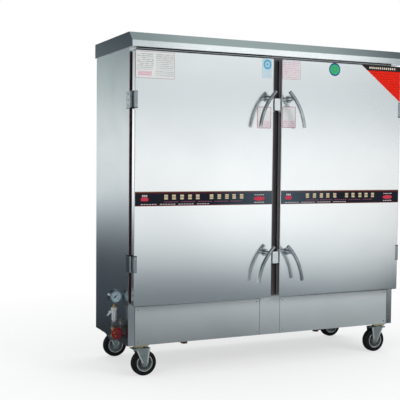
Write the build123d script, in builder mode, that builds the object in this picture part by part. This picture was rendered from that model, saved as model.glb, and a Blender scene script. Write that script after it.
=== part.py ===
from build123d import *
import os
from math import cos, radians, sin

# Rice steamer cabinet: two insulated compartments behind two doors, on four castors, with a
# steam inlet column on the left side. Millimetres. The origin is on the floor under the middle
# of the body: +X to the right, +Y to the back, +Z up. The doors face -Y.

# Body
body_width = 1400.0
body_depth = 456.0
castor_height = 140.0
base_height = 180.0
door_height = 1094.0
door_top_gap = 11.0
sheet = 1.2
wall = 30.0
back_wall = 34.0
post_width = 106.0
post_return = 30.0
opening_lap = 38.0
liner_sheet = 1.0
floor_sheet = 1.5
base_panel_lap = 8.0
base_panel_seam = 2.0
base_panel_flange = 15.0
insulation_overlap = 2.0
seat_gap = 0.3
overrun = 2.0

# Top cap
cap_side_overhang = 8.0
cap_front_overhang = 58.0
cap_face_height = 26.0
cap_slope_rise = 39.0
cap_slope_run = 42.0
cap_flange_side = 30.0
cap_flange_front = 90.0

# Tray racks
tray_levels = 12
first_runner_height = 46.0
top_runner_space = 69.0
runner_front_gap = 14.0
runner_back_gap = 6.0
runner_ledge = 18.0
runner_bar = 3.0
upright_thickness = 4.0
upright_width = 25.0
upright_inset = 40.0

# Doors
door_side_inset = 7.0
door_middle_gap = 42.0
door_pan_depth = 28.0
door_seal_zone = 20.0
door_edge_radius = 3.0
door_corner_radius = 6.0
door_plug_depth = 16.0
door_plug_edge = 5.0
seal_inset = 4.5
seal_width = 14.0
seal_edge = 4.0
seal_groove = 3.0
seal_groove_width = 8.0
band_height = 63.0
band_above_door_bottom = 430.0
band_sheet = 0.8
band_end_inset = 3.0

# Hinges
hinge_height = 74.0
hinge_knuckle_radius = 6.0
hinge_pin_radius = 2.5
hinge_pin_head_radius = 4.2
hinge_pin_head_height = 2.0
hinge_leaf = 2.0
hinge_stand = 0.6
hinge_axis_ahead = 2.0
hinge_fit = 0.05
hinge_body_lap = 30.0
hinge_front_lap = 13.0
hinge_relief = 0.5
hinge_middle_share = 0.5
hinge_above_door_bottom = 182.0
hinge_below_door_top = 211.0

# Handles and latches
pivot_from_middle = 58.0
pivot_above_door_bottom = 211.0
pivot_below_door_top = 182.0
handle_tip = (23.0, 29.0)
handle_belly = (-31.0, -45.0)
handle_foot = (-56.0, -132.0)
handle_width = 15.0
handle_thickness = 12.0
handle_corner = 4.0
handle_flute_radius = 1.6
handle_flute_spacing = 5.6
handle_standoff = 49.0
handle_boss_radius = 9.0
handle_collar_radius = 11.0
handle_collar_height = 6.0
handle_gap = 1.0
spindle_radius = 6.0
spindle_fit = 0.05
spindle_in_boss = 15.0
rose_radius = 17.0
rose_height = 4.0
latch_case_wall = 1.5
latch_case_depth = 20.0
latch_case_side = 20.0
latch_case_above = 14.0
latch_case_below = 60.0
latch_bush_radius = 10.0
tongue_length = 52.0
tongue_thickness = 5.0
tongue_root_radius = 9.0
tongue_tip_radius = 5.0
tongue_angle = -62.0
slot_height = 46.0
slot_width = 8.0
slot_below_pivot = 27.0
keeper_below_pivot = 26.0
keeper_width = 32.0
keeper_height = 57.0
keeper_head = 8.0
keeper_corner = 6.0
keeper_edge = 2.0
keeper_stem_width = 10.0
keeper_stem_height = 40.0
keeper_foot_width = 34.0
keeper_foot_height = 62.0
keeper_foot = 2.5
keeper_play = 0.8

# Castors
wheel_radius = 56.0
rim_radius = 37.0
tyre_width = 36.0
tyre_shoulder = 9.0
rim_width = 34.0
rim_band = 4.0
rim_web = 5.0
rim_hub_radius = 12.0
rim_hub_width = 38.0
axle_radius = 4.0
axle_fit = 0.05
axle_head_radius = 7.5
axle_head_height = 5.0
kingpin_inset_x = 64.0
kingpin_inset_y = 33.0
castor_trail = 20.0
castor_plate_length = 72.0
castor_plate_width = 62.0
castor_plate = 4.0
castor_plate_corner = 6.0
race_radius = 24.0
race_height = 7.0
race_edge = 2.0
kingpin_radius = 6.0
kingpin_fit = 0.05
kingpin_head_radius = 10.0
kingpin_head_height = 5.0
fork_sheet = 3.0
fork_cup_radius = 22.0
fork_cup_height = 4.7
fork_gap = 41.0
fork_front = 36.0
fork_back = 44.0
fork_foot_radius = 14.0
fork_lip = 6.0
fork_knee = 22.0
fork_edge = 2.0
castor_bolt_radius = 4.0
castor_bolt_clearance = 0.3
castor_bolt_head_radius = 7.0
castor_bolt_head_height = 5.0
castor_nut_height = 6.5
castor_bolt_spacing_x = 46.0
castor_bolt_spacing_y = 44.0

# Steam column on the left side
column_out = 33.0
column_setback = 90.0
pipe_above_base = 85.0
pipe_radius = 10.7
pipe_wall = 2.3
pipe_hole_gap = 0.8
pipe_bend = 40.0
pipe_socket = 10.0
riser_above_floor = 10.0
thread_radius = 9.3
thread_length = 16.0
tee_height = 24.0
tee_radius = 13.0
tee_collar_radius = 14.5
tee_collar = 5.0
tee_reach = 20.0
tee_plug_radius = 10.0
tee_plug_socket = 5.0
tee_plug_head = 6.0
wall_flange_radius = 27.0
wall_flange = 3.5
elbow_axis_drop = 6.0
elbow_radius = 14.0
elbow_collar_radius = 17.0
elbow_collar = 12.0
elbow_reach = 34.0
valve_length = 42.0
valve_barrel_radius = 11.0
valve_hex_radius = 15.0
valve_hex_height = 10.0
bonnet_radius = 10.0
bonnet_reach = 22.0
bonnet_hex_radius = 13.0
bonnet_hex_reach = 16.0
gland_nut_radius = 9.5
gland_nut_height = 8.0
stem_radius = 3.5
stem_fit = 0.05
stem_inside = 16.0
handwheel_ahead = 44.0
handwheel_radius = 26.0
handwheel_rim_radius = 4.2
handwheel_hub_radius = 8.0
handwheel_hub_height = 10.0
handwheel_spokes = 5
handwheel_spoke_width = 7.0
handwheel_spoke_depth = 4.0
handwheel_nut_radius = 6.0
handwheel_nut_height = 5.0
safety_length = 51.0
safety_radius = 12.0
safety_neck_radius = 9.0
safety_neck_height = 6.0
safety_edge = 1.5
safety_nut_radius = 14.5
safety_nut_height = 10.0
ear_reach = 12.0
ear_radius = 6.0
ear_sheet = 2.5
ear_gap = 4.6
ear_below_top = 8.0
ear_pin_radius = 2.0
ear_pin_fit = 0.05
ear_pin_end = 1.0
safety_lever_hub_radius = 4.5
safety_lever_length = 18.0
safety_lever_end_radius = 3.0
safety_lever_depth = 4.0
safety_lever_angle = 50.0
nipple_length = 17.0
nipple_radius = 5.5
nipple_hex_radius = 8.5
nipple_hex_height = 7.0

# Pressure gauge
gauge_radius = 29.5
gauge_depth = 36.0
gauge_back_from_axis = 10.0
gauge_wall = 1.8
gauge_bezel_step = 1.5
gauge_bezel_lip = 5.0
gauge_bezel_depth = 4.0
gauge_lip_depth = 2.0
gauge_boss_radius = 8.0
gauge_boss_height = 5.0
dial_below_front = 8.0
dial_sheet = 0.8
lens_sheet = 1.6
movement_radius = 14.0
needle_shaft_radius = 1.2
needle_shaft_length = 12.0
needle_fit = 0.05
needle_hub_radius = 3.2
needle_hub_height = 2.4
needle_length = 19.5
needle_tail = 9.0
needle_width = 2.6
needle_sheet = 0.8
needle_angle = 42.0

# Drains, vents and diffusers
drain_y = -60.0
drain_drop = 47.0
drain_bore = 8.0
drain_valve_radius = 15.0
drain_valve_height = 34.0
drain_hex_radius = 17.0
drain_hex_height = 12.0
drain_stem_rise = 17.0
drain_boss_reach = 22.0
drain_boss_radius = 6.0
drain_stem_radius = 3.0
drain_stem_fit = 0.05
drain_stem_length = 6.0
drain_lever_hub_radius = 8.0
drain_lever_length = 40.0
drain_lever_end_radius = 5.0
drain_lever_sheet = 4.0
drain_flange_radius = 18.0
drain_flange = 1.5
drain_hole_gap = 1.3
vent_radius = 12.5
vent_wall = 1.5
vent_below_top = 51.0
vent_reach = 22.0
vent_flange_radius = 18.0
vent_flange = 2.0
diffuser_radius = 75.0
diffuser_flat_radius = 62.0
diffuser_rim_drop = 9.0
diffuser_sheet = 1.2
diffuser_foot_radius = 5.0
diffuser_foot_height = 28.0
diffuser_foot_circle = 50.0
diffuser_feet = 4
diffuser_turn = 45.0

# Places worked out from the sizes
half_width = body_width / 2
body_front = -body_depth / 2
body_back = body_depth / 2
body_bottom = castor_height
floor_top = body_bottom + floor_sheet
door_bottom = body_bottom + base_height
door_top = door_bottom + door_height
body_top = door_top + door_top_gap
deck_bottom = body_top - sheet
liner_bottom = door_bottom + opening_lap
liner_top = door_top - opening_lap
liner_left = -half_width + wall
liner_right = -post_width / 2
liner_middle = (liner_left + liner_right) / 2
liner_back = body_back - back_wall
liner_floor = liner_bottom + liner_sheet
liner_inner_back = liner_back - liner_sheet
runner_range = liner_top - top_runner_space - liner_floor - first_runner_height
tray_pitch = runner_range / (tray_levels - 1)
base_panel_top = door_bottom - base_panel_lap
insulation_bottom = base_panel_top + insulation_overlap
vent_height = liner_top - vent_below_top
door_back = body_front - door_seal_zone
door_front = door_back - door_pan_depth
door_left = -half_width + door_side_inset
door_right = -door_middle_gap / 2
door_width = door_right - door_left
door_middle = ((door_left + door_right) / 2, (door_bottom + door_top) / 2)
pivot_x = -pivot_from_middle
pivot_heights = (door_top - pivot_below_door_top, door_bottom + pivot_above_door_bottom)
hinge_x = door_left - hinge_stand - hinge_knuckle_radius
hinge_y = door_back - hinge_axis_ahead
hinge_heights = (door_top - hinge_below_door_top, door_bottom + hinge_above_door_bottom)
handle_y = door_front - handle_standoff
rose_front = door_front - rose_height
tongue_front = door_front + keeper_head + keeper_play
column_x = -half_width - column_out
column_y = body_front + column_setback
pipe_height = body_bottom + pipe_above_base
tee_bottom = pipe_height - tee_height / 2
tee_top = pipe_height + tee_height / 2
valve_height = tee_bottom - valve_length / 2
valve_bottom = tee_bottom - valve_length
elbow_height = valve_bottom - elbow_axis_drop
safety_top = tee_top + safety_length
nipple_bottom = safety_top + safety_nut_height
gauge_height = nipple_bottom + nipple_length + gauge_boss_height + gauge_radius
gauge_back = column_y + gauge_back_from_axis
gauge_front = gauge_back - gauge_depth
kingpin_x = -half_width + kingpin_inset_x
kingpin_y = body_front + kingpin_inset_y
wheel_x = kingpin_x + castor_trail
plate_bottom = body_bottom - castor_plate
race_bottom = plate_bottom - race_height
cup_top = race_bottom - seat_gap
crown_top = cup_top - fork_cup_height
crown_bottom = crown_top - fork_sheet
kingpin_head_top = crown_bottom - seat_gap
fork_half = fork_gap / 2 + fork_sheet

both_sides = (1, -1)
pipe_holes = ((column_y, pipe_radius), (drain_y, pipe_radius))
castor_centres = [(x * kingpin_x, y * kingpin_y) for x in both_sides for y in both_sides]
os.makedirs("parts", exist_ok=True)


def block(x_span, y_span, z_span, mode=Mode.ADD):
    """A rectangular block between the two ends of each span."""
    spans = [sorted(span) for span in (x_span, y_span, z_span)]
    with Locations(Vector(*((low + high) / 2 for low, high in spans))):
        Box(*(high - low for low, high in spans), mode=mode)


def rod(start, end, radius, mode=Mode.ADD):
    """A round rod from one point to another."""
    run = Vector(*end) - Vector(*start)
    with BuildSketch(Plane(origin=start, z_dir=run.normalized())) as section:
        Circle(radius)
    extrude(section.sketch, amount=run.length, mode=mode)


def hexagon(start, end, radius):
    """A hexagonal bar from one point to another, with its corners at the radius."""
    run = Vector(*end) - Vector(*start)
    with BuildSketch(Plane(origin=start, z_dir=run.normalized())) as section:
        RegularPolygon(radius, 6)
    extrude(section.sketch, amount=run.length)


def save(piece, name):
    """Label a finished piece and write its file."""
    piece.label = name
    export_step(piece, f"parts/{name}.step")


def save_pair(piece, name):
    """Write a piece of the left side and its mirror image on the right."""
    save(piece, f"{name}_left")
    save(mirror(piece, about=Plane.YZ), f"{name}_right")


def save_corners(piece, name):
    """Write a piece of the front left corner and its mirror images at the other three."""
    save_pair(mirror(piece, about=Plane.XZ), f"{name}_back")
    save_pair(piece, f"{name}_front")


def together(pieces):
    """Several solids of one node."""
    return Compound(children=[solid for piece in pieces for solid in piece.solids()])


# Side panels: one folded sheet each, with a narrow return across the front. The left one has
# the hole for the steam pipe.
def side_panel(pipe_hole):
    with BuildPart() as panel:
        with BuildSketch(Plane.XY.offset(body_bottom)):
            with Locations((-half_width, body_front)):
                Rectangle(sheet, body_depth, align=(Align.MIN, Align.MIN))
                Rectangle(wall, sheet, align=(Align.MIN, Align.MIN))
        extrude(amount=deck_bottom - body_bottom)
        if pipe_hole:
            rod(
                (-half_width - overrun, column_y, pipe_height),
                (-half_width + sheet + overrun, column_y, pipe_height),
                pipe_radius + pipe_hole_gap,
                mode=Mode.SUBTRACT,
            )
    return panel.part


save(side_panel(True), "side_panel_left")
save(mirror(side_panel(False), about=Plane.YZ), "side_panel_right")

# Back panel, folded forward over the top as the deck that carries the cap
with BuildPart() as back_panel:
    block(
        (-half_width + sheet, half_width - sheet),
        (body_back - sheet, body_back),
        (body_bottom, deck_bottom),
    )
    block((-half_width, half_width), (body_front, body_back), (deck_bottom, body_top))
    for side in both_sides:
        rod(
            (side * liner_middle, liner_back, vent_height),
            (side * liner_middle, body_back + overrun, vent_height),
            vent_radius,
            mode=Mode.SUBTRACT,
        )
save(back_panel.part, "back_panel")

# Top cap: a folded hood whose front corner is cut by a slope, turned in underneath
cap_front = body_front - cap_front_overhang
cap_slope_bottom = body_top + cap_face_height
cap_top = cap_slope_bottom + cap_slope_rise
cap_half_width = half_width + cap_side_overhang
with BuildPart() as top_cap:
    with BuildSketch(Plane.YZ):
        with BuildLine():
            Polyline(
                (cap_front, body_top),
                (cap_front, cap_slope_bottom),
                (cap_front + cap_slope_run, cap_top),
                (body_back, cap_top),
                (body_back, body_top),
                close=True,
            )
        make_face()
    extrude(amount=cap_half_width, both=True)
    offset(amount=-sheet, openings=top_cap.faces().sort_by(Axis.Z)[0])
    block((-cap_half_width, cap_half_width), (cap_front, body_back), (body_top, body_top + sheet))
    block(
        (-cap_half_width + cap_flange_side, cap_half_width - cap_flange_side),
        (cap_front + cap_flange_front, body_back - cap_flange_side),
        (body_top, body_top + sheet),
        mode=Mode.SUBTRACT,
    )
save(top_cap.part, "top_cap")

# Front frame: two rails and the wide centre post, which is a channel down in the base
with BuildPart() as front_frame:
    front_skin = (body_front, body_front + sheet)
    rail_ends = (-half_width + wall, half_width - wall)
    block((-post_width / 2, post_width / 2), front_skin, (body_bottom, deck_bottom))
    block(rail_ends, front_skin, (base_panel_top, liner_bottom))
    block(rail_ends, front_skin, (liner_top, deck_bottom))
    for side in both_sides:
        block(
            (side * (post_width / 2 - sheet), side * post_width / 2),
            (body_front, body_front + post_return),
            (floor_top, base_panel_top),
        )
save(front_frame.part, "front_frame")

# Base panels: two shallow pans that close the front of the machine space
with BuildPart() as base_panels:
    panel_top = base_panel_top - base_panel_seam
    panel_back = body_front + base_panel_flange
    inner_end = post_width / 2 + base_panel_seam
    outer_end = half_width - wall - base_panel_seam
    for side in both_sides:
        block((side * inner_end, side * outer_end), (body_front, panel_back), (body_bottom, panel_top))
        block(
            (side * inner_end, side * outer_end),
            (body_front + sheet, panel_back),
            (body_bottom, floor_top),
            mode=Mode.SUBTRACT,
        )
        block(
            (side * (inner_end + sheet), side * (outer_end - sheet)),
            (body_front + sheet, panel_back),
            (floor_top, panel_top - sheet),
            mode=Mode.SUBTRACT,
        )
save(base_panels.part, "base_panels")

# Base floor, with holes for the castor bolts and the two drains
with BuildPart() as base_floor:
    with BuildSketch(Plane.XY.offset(body_bottom)):
        Rectangle(body_width - 2 * sheet, body_depth - 2 * sheet)
        with Locations(castor_centres):
            with GridLocations(castor_bolt_spacing_x, castor_bolt_spacing_y, 2, 2):
                Circle(castor_bolt_radius + castor_bolt_clearance, mode=Mode.SUBTRACT)
        with Locations([(side * liner_middle, drain_y) for side in both_sides]):
            Circle(pipe_radius + drain_hole_gap, mode=Mode.SUBTRACT)
    extrude(amount=floor_sheet)
save(base_floor.part, "base_floor")

# Liners: each cooking compartment is five sheets, welded along their edges and open to the front
def liner_sheet_piece(x_span, y_span, z_span, holes=()):
    with BuildPart() as piece:
        block(x_span, y_span, z_span)
        for start, end, radius in holes:
            rod(start, end, radius, mode=Mode.SUBTRACT)
    return piece.part


liner_ceiling = liner_top - liner_sheet
liner_depth = (body_front, liner_back)
floor_holes = [
    ((liner_middle, hole_y, liner_bottom), (liner_middle, hole_y, liner_floor), hole_radius)
    for hole_y, hole_radius in pipe_holes
]
vent_hole = (
    (liner_middle, liner_inner_back, vent_height),
    (liner_middle, liner_back, vent_height),
    vent_radius,
)
liner_pieces = [
    liner_sheet_piece((liner_left, liner_right), liner_depth, (liner_bottom, liner_floor), floor_holes),
    liner_sheet_piece((liner_left, liner_right), liner_depth, (liner_ceiling, liner_top)),
    liner_sheet_piece(
        (liner_left + liner_sheet, liner_right - liner_sheet),
        (liner_inner_back, liner_back),
        (liner_floor, liner_ceiling),
        [vent_hole],
    ),
]
for wall_x, inward in ((liner_left, 1), (liner_right, -1)):
    liner_pieces.append(
        liner_sheet_piece(
            (wall_x, wall_x + inward * liner_sheet), liner_depth, (liner_floor, liner_ceiling)
        )
    )
save_pair(together(liner_pieces), "liner")

# Insulation: one block of wool that fills the walls round both liners
with BuildPart() as insulation:
    block(
        (-half_width + sheet, half_width - sheet),
        (body_front + sheet, body_back - sheet),
        (insulation_bottom, deck_bottom),
    )
    for side in both_sides:
        block(
            (side * liner_left, side * liner_right),
            (body_front, liner_back),
            (liner_bottom, liner_top),
            mode=Mode.SUBTRACT,
        )
        for hole_y, hole_radius in pipe_holes:
            rod(
                (side * liner_middle, hole_y, insulation_bottom),
                (side * liner_middle, hole_y, liner_bottom),
                hole_radius,
                mode=Mode.SUBTRACT,
            )
        rod(
            (side * liner_middle, liner_back, vent_height),
            (side * liner_middle, body_back - sheet, vent_height),
            vent_radius,
            mode=Mode.SUBTRACT,
        )
save(insulation.part, "insulation")


# Tray racks: four uprights and two ladders of flat bar runners in each compartment
def upright(inner_x, inward, middle_y):
    with BuildPart() as strip:
        block(
            (inner_x, inner_x + inward * upright_thickness),
            (middle_y - upright_width / 2, middle_y + upright_width / 2),
            (liner_floor, liner_top - liner_sheet),
        )
    return strip.part


def runner(inner_x, inward, level):
    ledge_height = liner_floor + first_runner_height + level * tray_pitch
    back_x = inner_x + inward * upright_thickness
    runner_ends = (body_front + runner_front_gap, liner_inner_back - runner_back_gap)
    with BuildPart() as bar:
        block(
            (back_x, back_x + inward * runner_ledge),
            runner_ends,
            (ledge_height, ledge_height + runner_bar),
        )
    return bar.part


rack_pieces = []
upright_places = (
    body_front + runner_front_gap + upright_inset,
    liner_inner_back - runner_back_gap - upright_inset,
)
for rack_x, rack_inward in ((liner_left + liner_sheet, 1), (liner_right - liner_sheet, -1)):
    rack_pieces += [upright(rack_x, rack_inward, place) for place in upright_places]
    rack_pieces += [runner(rack_x, rack_inward, level) for level in range(tray_levels)]
save_pair(together(rack_pieces), "tray_rack")

# Steam pipe: one bent inlet run with a riser into each compartment
riser_top = liner_floor + riser_above_floor
pipe_start = column_x + tee_reach - pipe_socket
with BuildPart() as steam_pipe:
    with BuildLine() as inlet_route:
        FilletPolyline(
            (pipe_start, column_y, pipe_height),
            (-liner_middle, column_y, pipe_height),
            (-liner_middle, column_y, riser_top),
            radius=pipe_bend,
        )
    pipe_end = Plane(origin=inlet_route.line @ 0, z_dir=inlet_route.line % 0)
    with BuildSketch(pipe_end):
        Circle(pipe_radius)
    sweep(path=inlet_route.line)
    rod((liner_middle, column_y, pipe_height), (liner_middle, column_y, riser_top), pipe_radius)
    with BuildSketch(pipe_end):
        Circle(pipe_radius - pipe_wall)
    sweep(path=inlet_route.line, mode=Mode.SUBTRACT)
    rod(
        (liner_middle, column_y, pipe_height),
        (liner_middle, column_y, riser_top),
        pipe_radius - pipe_wall,
        mode=Mode.SUBTRACT,
    )
save(steam_pipe.part, "steam_pipe")

# Vent pipes: a short tube from each compartment out through the back, with a flange there
with BuildPart() as vent_pipes:
    for side in both_sides:
        vent_start = (side * liner_middle, liner_inner_back, vent_height)
        vent_end = (side * liner_middle, body_back + vent_reach, vent_height)
        rod(vent_start, vent_end, vent_radius)
        rod(
            (side * liner_middle, body_back, vent_height),
            (side * liner_middle, body_back + vent_flange, vent_height),
            vent_flange_radius,
        )
        rod(vent_start, vent_end, vent_radius - vent_wall, mode=Mode.SUBTRACT)
save(vent_pipes.part, "vent_pipes")

# Diffusers: a shallow round hood on four feet over each riser
with BuildPart() as steam_diffusers:
    hood_top = liner_floor + diffuser_foot_height
    rim_top = hood_top - diffuser_rim_drop
    for side in both_sides:
        hood_axis = Axis((side * liner_middle, column_y, liner_floor), (0, 0, 1))
        with BuildSketch(Plane(origin=hood_axis.position, x_dir=(1, 0, 0), z_dir=(0, -1, 0))):
            with BuildLine():
                Polyline(
                    (0, hood_top - liner_floor),
                    (diffuser_flat_radius, hood_top - liner_floor),
                    (diffuser_radius, rim_top - liner_floor),
                    (diffuser_radius, rim_top - diffuser_sheet - liner_floor),
                    (diffuser_flat_radius, hood_top - diffuser_sheet - liner_floor),
                    (0, hood_top - diffuser_sheet - liner_floor),
                    close=True,
                )
            make_face()
        revolve(axis=hood_axis)
    with BuildSketch(Plane.XY.offset(liner_floor)):
        with Locations([(side * liner_middle, column_y) for side in both_sides]):
            with PolarLocations(diffuser_foot_circle, diffuser_feet, start_angle=diffuser_turn):
                Circle(diffuser_foot_radius)
    extrude(amount=diffuser_foot_height - diffuser_sheet)
save(steam_diffusers.part, "steam_diffusers")

# Drain valves: a pipe from each compartment floor to a ball valve under the base
drain_bottom = body_bottom - drain_drop
drain_valve_top = drain_bottom + drain_valve_height
drain_stem_z = drain_bottom + drain_stem_rise
drain_boss_front = drain_y - drain_boss_reach
with BuildPart() as drain_valve:
    drain_low = (liner_middle, drain_y, drain_bottom)
    drain_high = (liner_middle, drain_y, liner_floor + drain_flange)
    rod(drain_low, drain_high, pipe_radius)
    rod((liner_middle, drain_y, liner_floor), drain_high, drain_flange_radius)
    rod(drain_low, (liner_middle, drain_y, drain_valve_top), drain_valve_radius)
    for hex_bottom in (drain_bottom, drain_valve_top - drain_hex_height):
        hexagon(
            (liner_middle, drain_y, hex_bottom),
            (liner_middle, drain_y, hex_bottom + drain_hex_height),
            drain_hex_radius,
        )
    rod(
        (liner_middle, drain_y, drain_stem_z),
        (liner_middle, drain_boss_front, drain_stem_z),
        drain_boss_radius,
    )
    rod(
        (liner_middle, drain_boss_front + drain_stem_length, drain_stem_z),
        (liner_middle, drain_boss_front - overrun, drain_stem_z),
        drain_stem_radius + drain_stem_fit,
        mode=Mode.SUBTRACT,
    )
    rod(drain_low, (liner_middle, drain_y, drain_bottom + thread_length), thread_radius, Mode.SUBTRACT)
    rod((liner_middle, drain_y, drain_valve_top), drain_high, drain_bore, mode=Mode.SUBTRACT)
save(together([drain_valve.part, mirror(drain_valve.part, about=Plane.YZ)]), "drain_valves")

# Drain levers: a flat bar on a stem, across the pipe when shut and down along it when open
with BuildPart() as drain_lever:
    lever_face = Plane(
        origin=(liner_middle, drain_boss_front - seat_gap, drain_stem_z),
        x_dir=(-1, 0, 0),
        z_dir=(0, -1, 0),
    )
    with BuildSketch(lever_face):
        Circle(drain_lever_hub_radius)
        with Locations((drain_lever_length, 0)):
            Circle(drain_lever_end_radius)
        make_hull()
    extrude(amount=drain_lever_sheet)
    with BuildSketch(lever_face):
        Circle(drain_stem_radius)
    extrude(amount=-drain_stem_length)
save_pair(drain_lever.part, "drain_lever")

# Castor plates: a bolted plate with the swivel race and the kingpin, on all four corners
with BuildPart() as castor_plates:
    with BuildSketch(Plane.XY.offset(body_bottom)):
        with Locations(castor_centres):
            RectangleRounded(castor_plate_length, castor_plate_width, castor_plate_corner)
            with GridLocations(castor_bolt_spacing_x, castor_bolt_spacing_y, 2, 2):
                Circle(castor_bolt_radius + castor_bolt_clearance, mode=Mode.SUBTRACT)
    extrude(amount=-castor_plate)
    with BuildSketch(Plane.XY.offset(plate_bottom)):
        with Locations(castor_centres):
            Circle(race_radius)
    extrude(amount=-race_height)
    chamfer(castor_plates.edges().group_by(Axis.Z)[0], race_edge)
    for centre_x, centre_y in castor_centres:
        kingpin_end = kingpin_head_top - kingpin_head_height
        rod((centre_x, centre_y, race_bottom), (centre_x, centre_y, kingpin_end), kingpin_radius)
        rod(
            (centre_x, centre_y, kingpin_head_top),
            (centre_x, centre_y, kingpin_end),
            kingpin_head_radius,
        )
save(castor_plates.part, "castor_plates")

# Castor bolts: head, shank and nut in one, four to a castor
with BuildPart() as castor_bolts:
    for bolt_outline, bolt_bottom, bolt_top in (
        ("head", plate_bottom - castor_bolt_head_height, plate_bottom),
        ("shank", plate_bottom, floor_top + castor_nut_height),
        ("nut", floor_top, floor_top + castor_nut_height),
    ):
        with BuildSketch(Plane.XY.offset(bolt_bottom)):
            with Locations(castor_centres):
                with GridLocations(castor_bolt_spacing_x, castor_bolt_spacing_y, 2, 2):
                    if bolt_outline == "shank":
                        Circle(castor_bolt_radius)
                    else:
                        RegularPolygon(castor_bolt_head_radius, 6)
        extrude(amount=bolt_top - bolt_bottom)
save(castor_bolts.part, "castor_bolts")

# Castor forks: a pressed yoke whose legs sweep down to the axle, and the axle bolt in it
with BuildPart() as castor_fork:
    axle_from_pin = wheel_x - kingpin_x
    fork_side = Plane(origin=(kingpin_x, kingpin_y, 0), x_dir=(1, 0, 0), z_dir=(0, -1, 0))
    with BuildSketch(fork_side):
        with BuildLine():
            foot_left = (axle_from_pin - fork_foot_radius, wheel_radius)
            foot_right = (axle_from_pin + fork_foot_radius, wheel_radius)
            Polyline(
                foot_left,
                (-fork_knee, crown_top - fork_lip),
                (-fork_front, crown_top - fork_lip),
                (-fork_front, crown_top),
                (fork_back, crown_top),
                foot_right,
            )
            ThreePointArc(foot_right, (axle_from_pin, wheel_radius - fork_foot_radius), foot_left)
        make_face()
    extrude(amount=fork_half, both=True)
    fillet(castor_fork.edges().filter_by(Axis.X).group_by(Axis.Z)[-1], fork_edge)
    block(
        (kingpin_x - fork_front, kingpin_x + fork_back + fork_foot_radius),
        (kingpin_y - fork_gap / 2, kingpin_y + fork_gap / 2),
        (wheel_radius - fork_foot_radius, crown_bottom),
        mode=Mode.SUBTRACT,
    )
    rod((kingpin_x, kingpin_y, crown_bottom), (kingpin_x, kingpin_y, cup_top), fork_cup_radius)
    rod(
        (kingpin_x, kingpin_y, crown_bottom),
        (kingpin_x, kingpin_y, cup_top),
        kingpin_radius + kingpin_fit,
        mode=Mode.SUBTRACT,
    )
    rod(
        (wheel_x, kingpin_y - fork_half, wheel_radius),
        (wheel_x, kingpin_y + fork_half, wheel_radius),
        axle_radius,
        mode=Mode.SUBTRACT,
    )
with BuildPart() as castor_axle:
    axle_end = fork_half + axle_head_height
    rod(
        (wheel_x, kingpin_y - axle_end, wheel_radius),
        (wheel_x, kingpin_y + axle_end, wheel_radius),
        axle_radius,
    )
    for side in both_sides:
        hexagon(
            (wheel_x, kingpin_y + side * fork_half, wheel_radius),
            (wheel_x, kingpin_y + side * axle_end, wheel_radius),
            axle_head_radius,
        )
save_corners(together([castor_fork.part, castor_axle.part]), "castor_fork")

# Castor rims: hub, web and band of pressed steel
wheel_plane = Plane((wheel_x, kingpin_y, wheel_radius))
wheel_axis = Axis((wheel_x, kingpin_y, wheel_radius), (0, 1, 0))
with BuildPart() as castor_rim:
    rim_half = [
        (axle_radius + axle_fit, rim_hub_width / 2),
        (rim_hub_radius, rim_hub_width / 2),
        (rim_hub_radius, rim_web / 2),
        (rim_radius - rim_band, rim_web / 2),
        (rim_radius - rim_band, rim_width / 2),
        (rim_radius, rim_width / 2),
    ]
    with BuildSketch(wheel_plane):
        with BuildLine():
            Polyline(*rim_half, *((out, -along) for out, along in reversed(rim_half)), close=True)
        make_face()
    revolve(axis=wheel_axis)
save_corners(castor_rim.part, "castor_rim")

# Castor tyres: round-shouldered rubber
with BuildPart() as castor_tyre:
    with BuildSketch(wheel_plane) as tyre_section:
        with Locations((rim_radius, 0)):
            Rectangle(wheel_radius - rim_radius, tyre_width, align=(Align.MIN, Align.CENTER))
        fillet(tyre_section.vertices().group_by(Axis.X)[-1], tyre_shoulder)
    revolve(axis=wheel_axis)
save_corners(castor_tyre.part, "castor_tyre")


# Doors: a rounded plate of the door's outline, less an inset all round
def door_plate(inset, near_y, far_y, corner_radius, mode=Mode.ADD):
    with BuildSketch(Plane.XZ.offset(-near_y)) as outline:
        with Locations(door_middle):
            RectangleRounded(
                door_width - 2 * inset, door_top - door_bottom - 2 * inset, corner_radius
            )
    extrude(outline.sketch, amount=near_y - far_y, mode=mode)


# The inside of a door's pan, with the skin's radii less its thickness
with BuildPart() as pan_core:
    door_plate(sheet, door_front + sheet, door_back, door_corner_radius - sheet)
    fillet(pan_core.edges().group_by(Axis.Y)[0], door_edge_radius - sheet)

# Door skins: the outer pan, with two holes for the latch bushes and two slots for the tongues
with BuildPart() as door_skin:
    door_plate(0, door_front, door_back, door_corner_radius)
    fillet(door_skin.edges().group_by(Axis.Y)[0], door_edge_radius)
    add(pan_core.part, mode=Mode.SUBTRACT)
    tongue_middle = tongue_front + tongue_thickness / 2
    for pivot_z in pivot_heights:
        slot_z = pivot_z - slot_below_pivot
        rod(
            (pivot_x, door_front - overrun, pivot_z),
            (pivot_x, door_front + sheet + overrun, pivot_z),
            latch_bush_radius,
            mode=Mode.SUBTRACT,
        )
        block(
            (door_right - sheet - overrun, door_right + overrun),
            (tongue_middle - slot_width / 2, tongue_middle + slot_width / 2),
            (slot_z - slot_height / 2, slot_z + slot_height / 2),
            mode=Mode.SUBTRACT,
        )
save_pair(door_skin.part, "door_skin")


# The space that a latch case takes behind the skin, as far as the given end
def latch_space(pivot_z, case_right, inset, mode):
    case_left = pivot_x - latch_case_side + inset
    case_front = door_front + sheet + inset
    case_back = door_front + sheet + latch_case_depth - inset
    case_low = pivot_z - latch_case_below + inset
    case_high = pivot_z + latch_case_above - inset
    block((case_left, case_right), (case_front, case_back), (case_low, case_high), mode=mode)


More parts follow.
